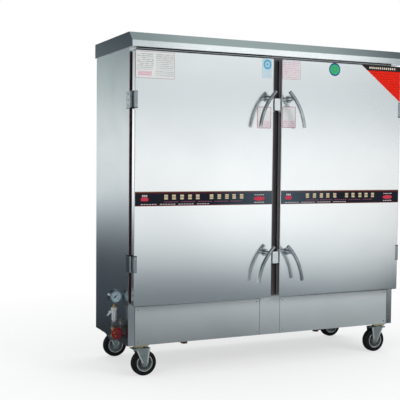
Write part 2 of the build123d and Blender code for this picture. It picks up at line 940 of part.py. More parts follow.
# Door inners: the foamed inner pan, which fills the skin and steps back inside the seal
with BuildPart() as door_inner:
    add(pan_core.part)
    door_plate(
        seal_inset + seal_width, door_back, door_back + door_plug_depth, door_corner_radius
    )
    fillet(door_inner.edges().group_by(Axis.Y)[-1], door_plug_edge)
    for pivot_z in pivot_heights:
        latch_space(pivot_z, door_right - sheet, 0, Mode.SUBTRACT)
save_pair(door_inner.part, "door_inner")

# Door seals: a soft frame with a rounded lip and a groove round its outside
with BuildPart() as door_seal:
    seal_back = body_front - seat_gap
    seal_middle = (door_back + seal_back) / 2
    door_plate(seal_inset, door_back, seal_back, door_corner_radius)
    fillet(door_seal.edges().group_by(Axis.Y)[-1], seal_edge)
    with BuildSketch(Plane.XZ.offset(-(seal_middle - seal_groove_width / 2))):
        with Locations(door_middle):
            Rectangle(2 * door_width, 2 * door_height)
            RectangleRounded(
                door_width - 2 * (seal_inset + seal_groove),
                door_top - door_bottom - 2 * (seal_inset + seal_groove),
                door_corner_radius,
                mode=Mode.SUBTRACT,
            )
    extrude(amount=-seal_groove_width, mode=Mode.SUBTRACT)
    door_plate(
        seal_inset + seal_width, door_back, seal_back, door_corner_radius, mode=Mode.SUBTRACT
    )
save_pair(door_seal.part, "door_seal")

# Door bands: the thin applied strip across each door
with BuildPart() as door_band:
    band_bottom = door_bottom + band_above_door_bottom
    block(
        (door_left + band_end_inset, door_right - band_end_inset),
        (door_front - band_sheet, door_front),
        (band_bottom, band_bottom + band_height),
    )
save_pair(door_band.part, "door_band")


# Hinge leaves on the body: a plate on the side panel, its two outer knuckles and the pin
def hinge_frame_leaf(middle_z):
    low, high = middle_z - hinge_height / 2, middle_z + hinge_height / 2
    middle_half = hinge_height * hinge_middle_share / 2 + seat_gap
    leaf_front = hinge_y + hinge_knuckle_radius + hinge_relief
    with BuildPart() as leaf:
        block((-half_width - hinge_leaf, -half_width), (hinge_y, body_front + hinge_body_lap), (low, high))
        rod((hinge_x, hinge_y, low), (hinge_x, hinge_y, high), hinge_knuckle_radius)
        block(
            (hinge_x - hinge_knuckle_radius, hinge_x + hinge_knuckle_radius),
            (hinge_y - hinge_knuckle_radius, leaf_front),
            (middle_z - middle_half, middle_z + middle_half),
            mode=Mode.SUBTRACT,
        )
        rod((hinge_x, hinge_y, low), (hinge_x, hinge_y, high), hinge_pin_radius, mode=Mode.SUBTRACT)
    return leaf.part


def hinge_pin(middle_z):
    low, high = middle_z - hinge_height / 2, middle_z + hinge_height / 2
    with BuildPart() as pin:
        rod((hinge_x, hinge_y, low), (hinge_x, hinge_y, high), hinge_pin_radius)
        for end, head_end in (
            (low, low - hinge_pin_head_height),
            (high, high + hinge_pin_head_height),
        ):
            rod((hinge_x, hinge_y, end), (hinge_x, hinge_y, head_end), hinge_pin_head_radius)
    return pin.part


frame_leaves = [make(z) for make in (hinge_frame_leaf, hinge_pin) for z in hinge_heights]
frame_leaves += [mirror(piece, about=Plane.YZ) for piece in frame_leaves]
save(together(frame_leaves), "hinge_frame_leaves")

# Hinge leaves on the doors: a plate bent round the pan's front edge and the middle knuckle
with BuildPart() as door_hinge_leaves:
    knuckle_half = hinge_height * hinge_middle_share / 2 - seat_gap
    leaf_back = hinge_y - hinge_knuckle_radius - hinge_relief
    for hinge_z in hinge_heights:
        knuckle_low = (hinge_x, hinge_y, hinge_z - knuckle_half)
        knuckle_high = (hinge_x, hinge_y, hinge_z + knuckle_half)
        leaf_ends = (hinge_z - hinge_height / 2, hinge_z + hinge_height / 2)
        block((door_left - hinge_leaf, door_left), (door_front - hinge_leaf, leaf_back), leaf_ends)
        block(
            (door_left, door_left + hinge_front_lap),
            (door_front - hinge_leaf, door_front),
            leaf_ends,
        )
        block(
            (door_left - hinge_leaf, door_left),
            (leaf_back, hinge_y),
            (hinge_z - knuckle_half, hinge_z + knuckle_half),
        )
        rod(knuckle_low, knuckle_high, hinge_knuckle_radius)
        rod(knuckle_low, knuckle_high, hinge_pin_radius + hinge_fit, mode=Mode.SUBTRACT)
save_pair(door_hinge_leaves.part, "door_hinge_leaves")


# Handles: a bowed bar with two flutes, on a boss, and the spindle with its latch tongue
def handle(pivot_z):
    boss_back = rose_front - handle_gap
    spindle_front = boss_back - spindle_in_boss
    with BuildPart() as bar:
        with BuildLine() as bow:
            ThreePointArc(
                *((pivot_x + along, handle_y, pivot_z + up)
                  for along, up in (handle_tip, handle_belly, handle_foot))
            )
        with BuildSketch(Plane(origin=bow.line @ 0, x_dir=(0, -1, 0), z_dir=bow.line % 0)):
            RectangleRounded(handle_thickness, handle_width, handle_corner)
            with Locations(
                (handle_thickness / 2, handle_flute_spacing / 2),
                (handle_thickness / 2, -handle_flute_spacing / 2),
            ):
                Circle(handle_flute_radius, mode=Mode.SUBTRACT)
        sweep(path=bow.line)
        rod((pivot_x, handle_y, pivot_z), (pivot_x, boss_back, pivot_z), handle_boss_radius)
        rod(
            (pivot_x, boss_back - handle_collar_height, pivot_z),
            (pivot_x, boss_back, pivot_z),
            handle_collar_radius,
        )
        rod(
            (pivot_x, spindle_front, pivot_z),
            (pivot_x, boss_back, pivot_z),
            spindle_radius,
            mode=Mode.SUBTRACT,
        )
    with BuildPart() as spindle:
        turn = radians(tongue_angle)
        tongue_back = tongue_front + tongue_thickness
        rod((pivot_x, spindle_front, pivot_z), (pivot_x, tongue_back, pivot_z), spindle_radius)
        with BuildSketch(
            Plane(
                origin=(pivot_x, tongue_back, pivot_z),
                x_dir=(cos(turn), 0, sin(turn)),
                z_dir=(0, -1, 0),
            )
        ):
            Circle(tongue_root_radius)
            with Locations((tongue_length - tongue_tip_radius, 0)):
                Circle(tongue_tip_radius)
            make_hull()
        extrude(amount=tongue_thickness)
    return together([bar.part, spindle.part])


for level, pivot_z in zip(("upper", "lower"), pivot_heights):
    save_pair(handle(pivot_z), f"handle_{level}")


# Latch cases: a box behind the skin, open towards the slot, with a bush and the round rose
def latch_case(pivot_z):
    with BuildPart() as case:
        latch_space(pivot_z, door_right - door_edge_radius, 0, Mode.ADD)
        latch_space(pivot_z, door_right - door_edge_radius, latch_case_wall, Mode.SUBTRACT)
        rod(
            (pivot_x, door_front, pivot_z),
            (pivot_x, tongue_front - keeper_play, pivot_z),
            latch_bush_radius,
        )
        rod(
            (pivot_x, door_front, pivot_z),
            (pivot_x, tongue_front, pivot_z),
            spindle_radius + spindle_fit,
            mode=Mode.SUBTRACT,
        )
    return case.part


def rose(pivot_z):
    with BuildPart() as disc:
        rod((pivot_x, rose_front, pivot_z), (pivot_x, door_front, pivot_z), rose_radius)
        rod(
            (pivot_x, rose_front, pivot_z),
            (pivot_x, door_front, pivot_z),
            spindle_radius + spindle_fit,
            mode=Mode.SUBTRACT,
        )
    return disc.part


save_pair(together([make(z) for make in (latch_case, rose) for z in pivot_heights]), "latch_cases")

# Latch keepers: a chrome head on a stem from the centre post, shared by both doors
with BuildPart() as latch_keepers:
    for pivot_z in pivot_heights:
        keeper_z = pivot_z - keeper_below_pivot
        with BuildSketch(Plane.XZ.offset(-door_front)):
            with Locations((0, keeper_z)):
                RectangleRounded(keeper_width, keeper_height, keeper_corner)
        extrude(amount=-keeper_head)
        block(
            (-keeper_stem_width / 2, keeper_stem_width / 2),
            (door_front + keeper_head, body_front),
            (keeper_z - keeper_stem_height / 2, keeper_z + keeper_stem_height / 2),
        )
        block(
            (-keeper_foot_width / 2, keeper_foot_width / 2),
            (body_front - keeper_foot, body_front),
            (keeper_z - keeper_foot_height / 2, keeper_z + keeper_foot_height / 2),
        )
    fillet(latch_keepers.edges().group_by(Axis.Y)[0], keeper_edge)
save(latch_keepers.part, "latch_keepers")

# Steam fittings: the inlet elbow, the tee with its front plug and the flange on the panel
with BuildPart() as elbow:
    elbow_end = column_y + elbow_reach
    rod((column_x, column_y, elbow_height), (column_x, elbow_end, elbow_height), elbow_radius)
    rod(
        (column_x, elbow_end - elbow_collar, elbow_height),
        (column_x, elbow_end, elbow_height),
        elbow_collar_radius,
    )
    rod((column_x, column_y, elbow_height), (column_x, column_y, valve_bottom), elbow_radius)
    with Locations(Vector(column_x, column_y, elbow_height)):
        Sphere(elbow_radius)
    split(bisect_by=Plane.XY.offset(valve_bottom), keep=Keep.BOTTOM)
    rod(
        (column_x, elbow_end - thread_length, elbow_height),
        (column_x, elbow_end, elbow_height),
        thread_radius,
        mode=Mode.SUBTRACT,
    )
with BuildPart() as tee:
    tee_side = column_x + tee_reach
    tee_front = column_y - tee_reach
    rod((column_x, column_y, tee_bottom), (column_x, column_y, tee_top), tee_radius)
    rod((column_x, column_y, pipe_height), (tee_side, column_y, pipe_height), tee_radius)
    rod((column_x, column_y, pipe_height), (column_x, tee_front, pipe_height), tee_radius)
    for collar_low in (tee_bottom, tee_top - tee_collar):
        rod(
            (column_x, column_y, collar_low),
            (column_x, column_y, collar_low + tee_collar),
            tee_collar_radius,
        )
    rod(
        (tee_side - tee_collar, column_y, pipe_height),
        (tee_side, column_y, pipe_height),
        tee_collar_radius,
    )
    rod(
        (column_x, tee_front, pipe_height),
        (column_x, tee_front + tee_collar, pipe_height),
        tee_collar_radius,
    )
    split(bisect_by=Plane.XY.offset(tee_top), keep=Keep.BOTTOM)
    split(bisect_by=Plane.XY.offset(tee_bottom), keep=Keep.TOP)
    rod(
        (tee_side - pipe_socket, column_y, pipe_height),
        (tee_side, column_y, pipe_height),
        pipe_radius,
        mode=Mode.SUBTRACT,
    )
    rod(
        (column_x, tee_front, pipe_height),
        (column_x, tee_front + tee_plug_socket, pipe_height),
        tee_plug_radius,
        mode=Mode.SUBTRACT,
    )
    hexagon(
        (column_x, tee_front + tee_plug_socket, pipe_height),
        (column_x, tee_front, pipe_height),
        tee_plug_head,
    )
with BuildPart() as flange:
    flange_out = (-half_width - wall_flange, column_y, pipe_height)
    flange_in = (-half_width, column_y, pipe_height)
    rod(flange_out, flange_in, wall_flange_radius)
    rod(flange_out, flange_in, pipe_radius, mode=Mode.SUBTRACT)
save(together([elbow.part, tee.part, flange.part]), "steam_fittings")

# Gate valve: a brass body with hexagonal ends, its bonnet and gland nut towards the front
with BuildPart() as gate_valve:
    gland_back = column_y - bonnet_reach
    gland_front = gland_back - gland_nut_height
    wheel_middle_y = column_y - handwheel_ahead
    stem_end = wheel_middle_y + handwheel_hub_height / 2 + stem_inside
    rod((column_x, column_y, valve_bottom), (column_x, column_y, tee_bottom), valve_barrel_radius)
    for hex_low in (valve_bottom, tee_bottom - valve_hex_height):
        hexagon(
            (column_x, column_y, hex_low),
            (column_x, column_y, hex_low + valve_hex_height),
            valve_hex_radius,
        )
    rod(
        (column_x, column_y, valve_height),
        (column_x, gland_back, valve_height),
        bonnet_radius,
    )
    hexagon(
        (column_x, column_y, valve_height),
        (column_x, column_y - bonnet_hex_reach, valve_height),
        bonnet_hex_radius,
    )
    split(bisect_by=Plane.XY.offset(tee_bottom), keep=Keep.BOTTOM)
    hexagon(
        (column_x, gland_back, valve_height),
        (column_x, gland_front, valve_height),
        gland_nut_radius,
    )
    rod(
        (column_x, gland_front, valve_height),
        (column_x, stem_end + overrun, valve_height),
        stem_radius + stem_fit,
        mode=Mode.SUBTRACT,
    )
save(gate_valve.part, "gate_valve")

# Handwheel: a round rim on five spokes, and the stem with its nut
hub_front = wheel_middle_y - handwheel_hub_height / 2
hub_back = wheel_middle_y + handwheel_hub_height / 2
with BuildPart() as handwheel:
    rim_middle = handwheel_radius - handwheel_rim_radius
    with BuildSketch(Plane((column_x, wheel_middle_y, valve_height))):
        with Locations((rim_middle, 0)):
            Circle(handwheel_rim_radius)
    revolve(axis=Axis((column_x, wheel_middle_y, valve_height), (0, 1, 0)))
    with BuildSketch(Plane(origin=(column_x, wheel_middle_y, valve_height), z_dir=(0, -1, 0))):
        with PolarLocations(rim_middle / 2, handwheel_spokes):
            Rectangle(rim_middle, handwheel_spoke_width)
    extrude(amount=handwheel_spoke_depth / 2, both=True)
    rod((column_x, hub_back, valve_height), (column_x, hub_front, valve_height), handwheel_hub_radius)
    rod(
        (column_x, hub_back, valve_height),
        (column_x, hub_front, valve_height),
        stem_radius,
        mode=Mode.SUBTRACT,
    )
with BuildPart() as valve_stem:
    rod((column_x, hub_front, valve_height), (column_x, stem_end, valve_height), stem_radius)
    hexagon(
        (column_x, hub_front, valve_height),
        (column_x, hub_front - handwheel_nut_height, valve_height),
        handwheel_nut_radius,
    )
save(together([handwheel.part, valve_stem.part]), "handwheel")

# Safety valve: a spring barrel with a hexagonal top and two ears that carry the lever's pin
ear_x = column_x - safety_radius - ear_reach + ear_radius
ear_z = safety_top - ear_below_top
with BuildPart() as safety_valve:
    barrel_bottom = tee_top + safety_neck_height
    rod((column_x, column_y, barrel_bottom), (column_x, column_y, safety_top), safety_radius)
    chamfer(safety_valve.edges().filter_by(GeomType.CIRCLE), safety_edge)
    rod((column_x, column_y, tee_top), (column_x, column_y, barrel_bottom), safety_neck_radius)
    hexagon(
        (column_x, column_y, safety_top),
        (column_x, column_y, nipple_bottom),
        safety_nut_radius,
    )
    for side in both_sides:
        ear_inner = column_y + side * ear_gap / 2
        with BuildSketch(Plane.XZ.offset(-ear_inner)):
            with Locations((ear_x, ear_z)):
                Circle(ear_radius)
                Rectangle(ear_reach, 2 * ear_radius, align=(Align.MIN, Align.CENTER))
        extrude(amount=-side * ear_sheet)
    pin_end = ear_gap / 2 + ear_sheet + ear_pin_end
    rod((ear_x, column_y - pin_end, ear_z), (ear_x, column_y + pin_end, ear_z), ear_pin_radius)
save(safety_valve.part, "safety_valve")

# Safety lever: a short tapered arm that hangs from the pin
with BuildPart() as safety_lever:
    droop = radians(safety_lever_angle)
    with BuildSketch(
        Plane(
            origin=(ear_x, column_y, ear_z),
            x_dir=(-cos(droop), 0, -sin(droop)),
            z_dir=(0, -1, 0),
        )
    ):
        Circle(safety_lever_hub_radius)
        with Locations((safety_lever_length, 0)):
            Circle(safety_lever_end_radius)
        make_hull()
        Circle(ear_pin_radius + ear_pin_fit, mode=Mode.SUBTRACT)
    extrude(amount=safety_lever_depth / 2, both=True)
save(safety_lever.part, "safety_lever")

# Gauge nipple: a brass stub with a hexagon, from the safety valve's nut to the gauge
boss_bottom = nipple_bottom + nipple_length
with BuildPart() as gauge_nipple:
    rod((column_x, column_y, nipple_bottom), (column_x, column_y, boss_bottom), nipple_radius)
    hexagon(
        (column_x, column_y, nipple_bottom),
        (column_x, column_y, nipple_bottom + nipple_hex_height),
        nipple_hex_radius,
    )
save(gauge_nipple.part, "gauge_nipple")

# Pressure gauge: a turned case with a bezel, its socket boss and the movement inside
gauge_axis = Axis((column_x, gauge_front, gauge_height), (0, 1, 0))
gauge_plane = Plane((column_x, gauge_front, gauge_height))
case_radius = gauge_radius - gauge_bezel_step
case_bore = case_radius - gauge_wall
with BuildPart() as gauge_case:
    with BuildSketch(gauge_plane):
        with BuildLine():
            Polyline(
                (gauge_radius - gauge_bezel_lip, 0),
                (gauge_radius, 0),
                (gauge_radius, gauge_bezel_depth),
                (case_radius, gauge_bezel_depth),
                (case_radius, gauge_depth),
                (0, gauge_depth),
                (0, gauge_depth - gauge_wall),
                (case_bore, gauge_depth - gauge_wall),
                (case_bore, gauge_lip_depth),
                (gauge_radius - gauge_bezel_lip, gauge_lip_depth),
                close=True,
            )
        make_face()
    revolve(axis=gauge_axis)
    with BuildSketch(Plane.XY.offset(boss_bottom)):
        with Locations((column_x, column_y)):
            Circle(gauge_boss_radius)
    extrude(until=Until.NEXT)
with BuildPart() as gauge_movement:
    shaft_start = gauge_front + dial_below_front
    shaft_bore = needle_shaft_radius + needle_fit
    rod(
        (column_x, shaft_start + dial_sheet, gauge_height),
        (column_x, gauge_back - gauge_wall, gauge_height),
        movement_radius,
    )
    rod(
        (column_x, shaft_start + dial_sheet, gauge_height),
        (column_x, shaft_start + needle_shaft_length + overrun, gauge_height),
        shaft_bore,
        mode=Mode.SUBTRACT,
    )
save(together([gauge_case.part, gauge_movement.part]), "gauge_case")

# Gauge dial: a disc across the case with a hole for the needle's shaft
with BuildPart() as gauge_dial:
    dial_front = (column_x, shaft_start, gauge_height)
    dial_rear = (column_x, shaft_start + dial_sheet, gauge_height)
    rod(dial_front, dial_rear, case_bore)
    rod(dial_front, dial_rear, shaft_bore, mode=Mode.SUBTRACT)
save(gauge_dial.part, "gauge_dial")

# Gauge lens: a glass disc behind the bezel's lip
with BuildPart() as gauge_lens:
    lens_front = gauge_front + gauge_lip_depth
    rod(
        (column_x, lens_front, gauge_height),
        (column_x, lens_front + lens_sheet, gauge_height),
        case_bore,
    )
save(gauge_lens.part, "gauge_lens")

# Gauge needle: a tapered pointer with a tail, on a hub and shaft
with BuildPart() as gauge_needle:
    point = radians(needle_angle)
    hub_rear = shaft_start - seat_gap
    hub_face = hub_rear - needle_hub_height
    needle_plane = Plane(
        origin=(column_x, (hub_rear + hub_face) / 2, gauge_height),
        x_dir=(cos(point), 0, sin(point)),
        z_dir=(0, -1, 0),
    )
    with BuildSketch(needle_plane):
        with BuildLine():
            Polyline(
                (needle_length, 0),
                (0, needle_width / 2),
                (-needle_tail, needle_width),
                (-needle_tail, -needle_width),
                (0, -needle_width / 2),
                close=True,
            )
        make_face()
    extrude(amount=needle_sheet / 2, both=True)
    rod((column_x, hub_face, gauge_height), (column_x, hub_rear, gauge_height), needle_hub_radius)
    rod(
        (column_x, hub_rear, gauge_height),
        (column_x, hub_rear + needle_shaft_length, gauge_height),
        needle_shaft_radius,
    )
save(gauge_needle.part, "gauge_needle")
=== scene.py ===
from math import cos, pi, radians, sin

import bmesh
import bpy
from mathutils import Matrix, Vector


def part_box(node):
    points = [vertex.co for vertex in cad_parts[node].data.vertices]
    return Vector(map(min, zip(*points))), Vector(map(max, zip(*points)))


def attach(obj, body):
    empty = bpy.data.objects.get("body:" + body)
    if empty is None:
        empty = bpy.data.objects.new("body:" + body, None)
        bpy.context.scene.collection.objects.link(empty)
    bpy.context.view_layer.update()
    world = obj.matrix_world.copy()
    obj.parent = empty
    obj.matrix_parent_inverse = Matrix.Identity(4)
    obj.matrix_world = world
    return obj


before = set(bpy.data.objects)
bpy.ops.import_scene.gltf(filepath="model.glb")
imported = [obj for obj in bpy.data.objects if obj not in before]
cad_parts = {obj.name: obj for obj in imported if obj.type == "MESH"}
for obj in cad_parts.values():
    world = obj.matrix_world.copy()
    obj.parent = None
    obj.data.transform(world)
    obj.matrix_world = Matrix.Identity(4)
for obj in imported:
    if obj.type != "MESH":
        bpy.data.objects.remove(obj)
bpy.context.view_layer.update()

# ---- Body sheets
# The sides, back, front frame, base panels and base floor are folded from satin stainless sheet with
# upright polishing lines and faint clouds. All are painted darker near the floor, the base panels more so
# and towards the left end, and the front frame nearly black behind the door seals: painted shade.
satin_light = (0.57, 0.60, 0.61)
satin_dark = (0.50, 0.53, 0.545)
# The colour that low parts are painted towards, as painted shade near the floor.
floor_low_shade = (0.42, 0.42, 0.41)


def node_in(tree, kind, inputs=None, **settings):
    """Adds a shader node, where each input is a value or the socket that feeds it."""
    node = tree.nodes.new("ShaderNode" + kind)
    for key, value in settings.items():
        setattr(node, key, value)
    for key, value in (inputs or {}).items():
        if isinstance(value, bpy.types.NodeSocket):
            tree.links.new(value, node.inputs[key])
        else:
            node.inputs[key].default_value = value
    return node


def group_tree(name, inputs, outputs):
    tree = bpy.data.node_groups.new(name, "ShaderNodeTree")
    for key, (kind, value) in inputs.items():
        socket = tree.interface.new_socket(key, in_out="INPUT", socket_type="NodeSocket" + kind)
        socket.default_value = value
    for key in outputs:
        tree.interface.new_socket(key, in_out="OUTPUT", socket_type="NodeSocketFloat")
    return tree, tree.nodes.new("NodeGroupInput"), tree.nodes.new("NodeGroupOutput")


def grain_group():
    """Drawn lines, soft clouds and a cloudy painted shade near the ground, as values from 0 to 1."""
    tree, given, made = group_tree(
        "Sheet Grain",
        {"Lines": ("Vector", (900.0, 900.0, 12.0)), "Clouds": ("Float", 3.0), "Low Shade Height": ("Float", 0.3)},
        ("Grain", "Cloud", "Low Shade"),
    )
    where = node_in(tree, "TexCoord").outputs["Object"]
    drawn = node_in(tree, "VectorMath", {0: where, 1: given.outputs["Lines"]}, operation="MULTIPLY")
    lines = node_in(
        tree, "TexNoise", {"Vector": drawn.outputs[0], "Scale": 1.0, "Detail": 3.0, "Roughness": 0.6}
    )
    clouds = node_in(
        tree, "TexNoise",
        {"Vector": where, "Scale": given.outputs["Clouds"], "Detail": 4.0, "Roughness": 0.55,
         "Distortion": 0.4},
    )
    # Painted shade: a share that grows towards the ground, broken up by the clouds.
    height = node_in(tree, "SeparateXYZ", {0: where}).outputs["Z"]
    top = given.outputs["Low Shade Height"]
    low_shade = node_in(
        tree, "MapRange", {"Value": height, "From Min": top, "From Max": 0.0, "To Min": 0.0, "To Max": 1.0}
    )
    cloudy_low_shade = node_in(tree, "Math", {0: low_shade.outputs[0], 1: clouds.outputs["Fac"]}, operation="MULTIPLY")
    for key, value in (
        ("Grain", lines.outputs["Fac"]), ("Cloud", clouds.outputs["Fac"]), ("Low Shade", cloudy_low_shade.outputs[0])
    ):
        tree.links.new(value, made.inputs[key])
    return tree


sheet_grain = grain_group()


def grain_in(tree, lines, clouds, low_shade_height=0.3):
    """The sheet grain at a material's own scales."""
    scales = {"Lines": lines, "Clouds": clouds, "Low Shade Height": low_shade_height}
    return node_in(tree, "Group", scales, node_tree=sheet_grain)


def blank_material(name, **sockets):
    material = bpy.data.materials.new(name)
    material.use_nodes = True
    shader = material.node_tree.nodes["Principled BSDF"]
    for key, value in sockets.items():
        shader.inputs[key.replace("_", " ")].default_value = value
    return material, material.node_tree, shader


def blend_colours(tree, factor, first, second):
    """Mixes two colours or colour sockets by a value socket."""
    first, second = ((*colour, 1) if isinstance(colour, tuple) else colour for colour in (first, second))
    return node_in(tree, "Mix", {0: factor, 6: first, 7: second}, data_type="RGBA").outputs[2]


def spread(tree, value, low, high, low_in=0.3, high_in=0.7):
    """Stretches a noise value between two finish values."""
    limits = {"From Min": low_in, "From Max": high_in, "To Min": low, "To Max": high}
    return node_in(tree, "MapRange", {"Value": value, **limits}).outputs[0]


def raised(tree, shader, height, strength, distance):
    bump = node_in(tree, "Bump", {"Height": height, "Strength": strength, "Distance": distance})
    tree.links.new(bump.outputs["Normal"], shader.inputs["Normal"])


def dress(tree, shader, colour, rough, relief):
    """Feeds a shader by (share, light, dark), (value, low, high) and (height, strength, distance)."""
    tree.links.new(blend_colours(tree, *colour), shader.inputs["Base Color"])
    if rough:
        tree.links.new(spread(tree, *rough), shader.inputs["Roughness"])
    raised(tree, shader, *relief)


def object_pattern(tree, kind="TexNoise", **inputs):
    """A pattern laid out in metres on the object, so that it moves with the piece."""
    return node_in(tree, kind, {"Vector": node_in(tree, "TexCoord").outputs["Object"], **inputs})


def drawn_metal(
    name, light, dark, rough, lines, clouds, relief, low_shade_height=0.3, low_shade=floor_low_shade, metallic=1.0
):
    """Metal with drawn lines, cloudy colour and roughness, and a colour painted low down as shade."""
    material, tree, shader = blank_material(name, Metallic=metallic)
    grain = grain_in(tree, lines, clouds, low_shade_height)
    steel = blend_colours(tree, spread(tree, grain.outputs["Cloud"], 0.0, 1.0), light, dark)
    half = node_in(tree, "Math", {0: grain.outputs["Cloud"], 1: 0.5}, operation="MULTIPLY").outputs[0]
    both = node_in(tree, "Math", {0: grain.outputs["Grain"], 1: 0.5, 2: half}, operation="MULTIPLY_ADD")
    dress(
        tree, shader, (grain.outputs["Low Shade"], steel, low_shade), (both.outputs[0], *rough),
        (grain.outputs["Grain"], *relief),
    )
    return material


def finish(material, *names):
    for name in names:
        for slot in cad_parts[name].material_slots:
            slot.material = material


upright_lines = (1400.0, 1400.0, 9.0)
satin_sheet = drawn_metal(
    "Satin Sheet", satin_light, satin_dark, (0.17, 0.26), upright_lines, 2.2, (0.05, 0.0004)
)
finish(satin_sheet, "side_panel_left", "side_panel_right")


def object_axis(tree, axis):
    """One coordinate of the surface, in metres."""
    where = node_in(tree, "TexCoord").outputs["Object"]
    return node_in(tree, "SeparateXYZ", {0: where}).outputs[axis]


def tint_over(material, share, colour):
    """Lays a colour over what already feeds the base colour, by a share from 0 to 1."""
    tree = material.node_tree
    base = tree.nodes["Principled BSDF"].inputs["Base Color"]
    tree.links.new(blend_colours(tree, share, base.links[0].from_socket, colour), base)


side_tree = satin_sheet.node_tree
# Painted highlight: a pale strip on the front fold of each side panel, greyer on the left panel than on the
# right.
side_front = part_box("side_panel_left")[0].y
highlight_on_return = spread(side_tree, object_axis(side_tree, "Y"), 1.0, 0.0, side_front + 0.0002, side_front + 0.0008)
to_right = spread(side_tree, object_axis(side_tree, "X"), 0.0, 1.0, -0.1, 0.1)
return_highlight = blend_colours(side_tree, to_right, (0.66, 0.67, 0.69), (0.96, 1.0, 1.0))
tint_over(satin_sheet, highlight_on_return, return_highlight)
front_light, front_dark = (0.91, 0.96, 0.975), (0.85, 0.90, 0.92)
# Near-black painted shade that darkens the base panels and post low down.
base_low_shade = (0.02, 0.022, 0.024)
front_sheet, post_sheet = (
    drawn_metal(
        name, front_light, front_dark, (0.30, 0.38), upright_lines, 2.2, (0.06, 0.0004), base_shade_height,
        base_low_shade, metallic=0.35,
    )
    for name, base_shade_height in (("Brushed Front Sheet", 0.33), ("Brushed Post Sheet", 0.36))
)
finish(front_sheet, "base_panels")
body_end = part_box("base_panels")[1].x
base_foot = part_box("base_panels")[0].z
for ground_sheet in (front_sheet, post_sheet):
    ground_tree = ground_sheet.node_tree
    # Painted shade: darker towards the left end, and darker near the floor, most at the left.
    left_end_shade_share = spread(ground_tree, object_axis(ground_tree, "X"), 0.55, 0.0, -body_end, body_end * 0.6)
    tint_over(ground_sheet, left_end_shade_share, (0.36, 0.39, 0.41))
    low_shade_share = spread(ground_tree, object_axis(ground_tree, "Z"), 0.72, 0.0, base_foot, base_foot + 0.15)
    along = spread(ground_tree, object_axis(ground_tree, "X"), 0.0, 1.0, -0.2, body_end)
    low_base_shade = blend_colours(ground_tree, along, (0.24, 0.27, 0.28), (0.58, 0.66, 0.67))
    tint_over(ground_sheet, low_shade_share, low_base_shade)
post_tree = post_sheet.node_tree
door_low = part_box("door_skin_left")[0].z
# Painted shade: the front frame nearly black above the door bottoms, where it lies in the gap between the
# doors, darkest on the left.
shade_behind_doors = spread(post_tree, object_axis(post_tree, "Z"), 0.0, 1.0, door_low - 0.006, door_low + 0.004)
gap_shade_side = spread(post_tree, object_axis(post_tree, "X"), 0.0, 1.0, -0.012, 0.006)
brass_stain_and_gap_shade = blend_colours(post_tree, gap_shade_side, (0.03, 0.028, 0.03), (0.25, 0.235, 0.24))
tint_over(post_sheet, shade_behind_doors, brass_stain_and_gap_shade)
finish(post_sheet, "front_frame")
back_sheet = drawn_metal(
    "Plain Back Sheet", satin_dark, (0.48, 0.50, 0.52), (0.24, 0.34), upright_lines, 3.0, (0.08, 0.0004)
)
finish(back_sheet, "back_panel", "base_floor")

# ---- Back panel rivets and base panel screws
# Blind rivets hold the back sheet to the side folds. Small flush screws hold each base panel,
# so that it comes off for work on the pipes.
rivet_radius = 0.0035
rivet_rise = 0.0012
screw_radius = 0.003
screw_rise = 0.0005
bright_steel = drawn_metal(
    "Bright Fixing Steel", (0.66, 0.67, 0.68), (0.58, 0.59, 0.60), (0.14, 0.24),
    (300.0, 300.0, 300.0), 40.0, (0.05, 0.0003),
)


def button_head(bm, centre, out, radius, rise, recess):
    """A low turned head with a rounded edge and a recess, standing on centre and facing out."""
    made = bmesh.ops.create_cone(
        bm, cap_ends=True, segments=20, radius1=radius, radius2=radius * 0.86, depth=rise
    )["verts"]
    bmesh.ops.translate(bm, verts=made, vec=(0, 0, rise / 2))
    top = max({face for vert in made for face in vert.link_faces}, key=lambda f: f.calc_center_median().z)
    dome = bmesh.ops.inset_region(bm, faces=[top], thickness=radius * 0.3, depth=rise * 0.22)
    bmesh.ops.inset_region(bm, faces=[top], thickness=radius * 0.18, depth=0.0)
    bmesh.ops.inset_region(bm, faces=[top], thickness=radius * 0.03, depth=-recess)
    whole = set(made)
    for face in dome["faces"] + [top]:
        whole.update(face.verts)
    grown = True
    while grown:
        more = {v for vert in whole for edge in vert.link_edges for v in edge.verts} - whole
        whole |= more
        grown = bool(more)
    turn = Vector((0, 0, 1)).rotation_difference(Vector(out)).to_matrix()
    bmesh.ops.rotate(bm, verts=list(whole), cent=(0, 0, 0), matrix=turn)
    bmesh.ops.translate(bm, verts=list(whole), vec=centre)


def placed(name, data):
    """Puts a mesh, lamp or camera in the scene as an object."""
    made = bpy.data.objects.new(name, data)
    bpy.context.scene.collection.objects.link(made)
    return made


def piece(name, bm, materials, body, smooth=True):
    """Turns a finished bmesh into a piece that rides on a body."""
    bmesh.ops.recalc_face_normals(bm, faces=bm.faces)
    mesh = bpy.data.meshes.new(name)
    bm.to_mesh(mesh)
    bm.free()
    made = placed(name, mesh)
    for material in materials:
        mesh.materials.append(material)
    if smooth:
        mesh.shade_smooth()
        mesh.set_sharp_from_angle(angle=radians(35))
    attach(made, body)
    return made


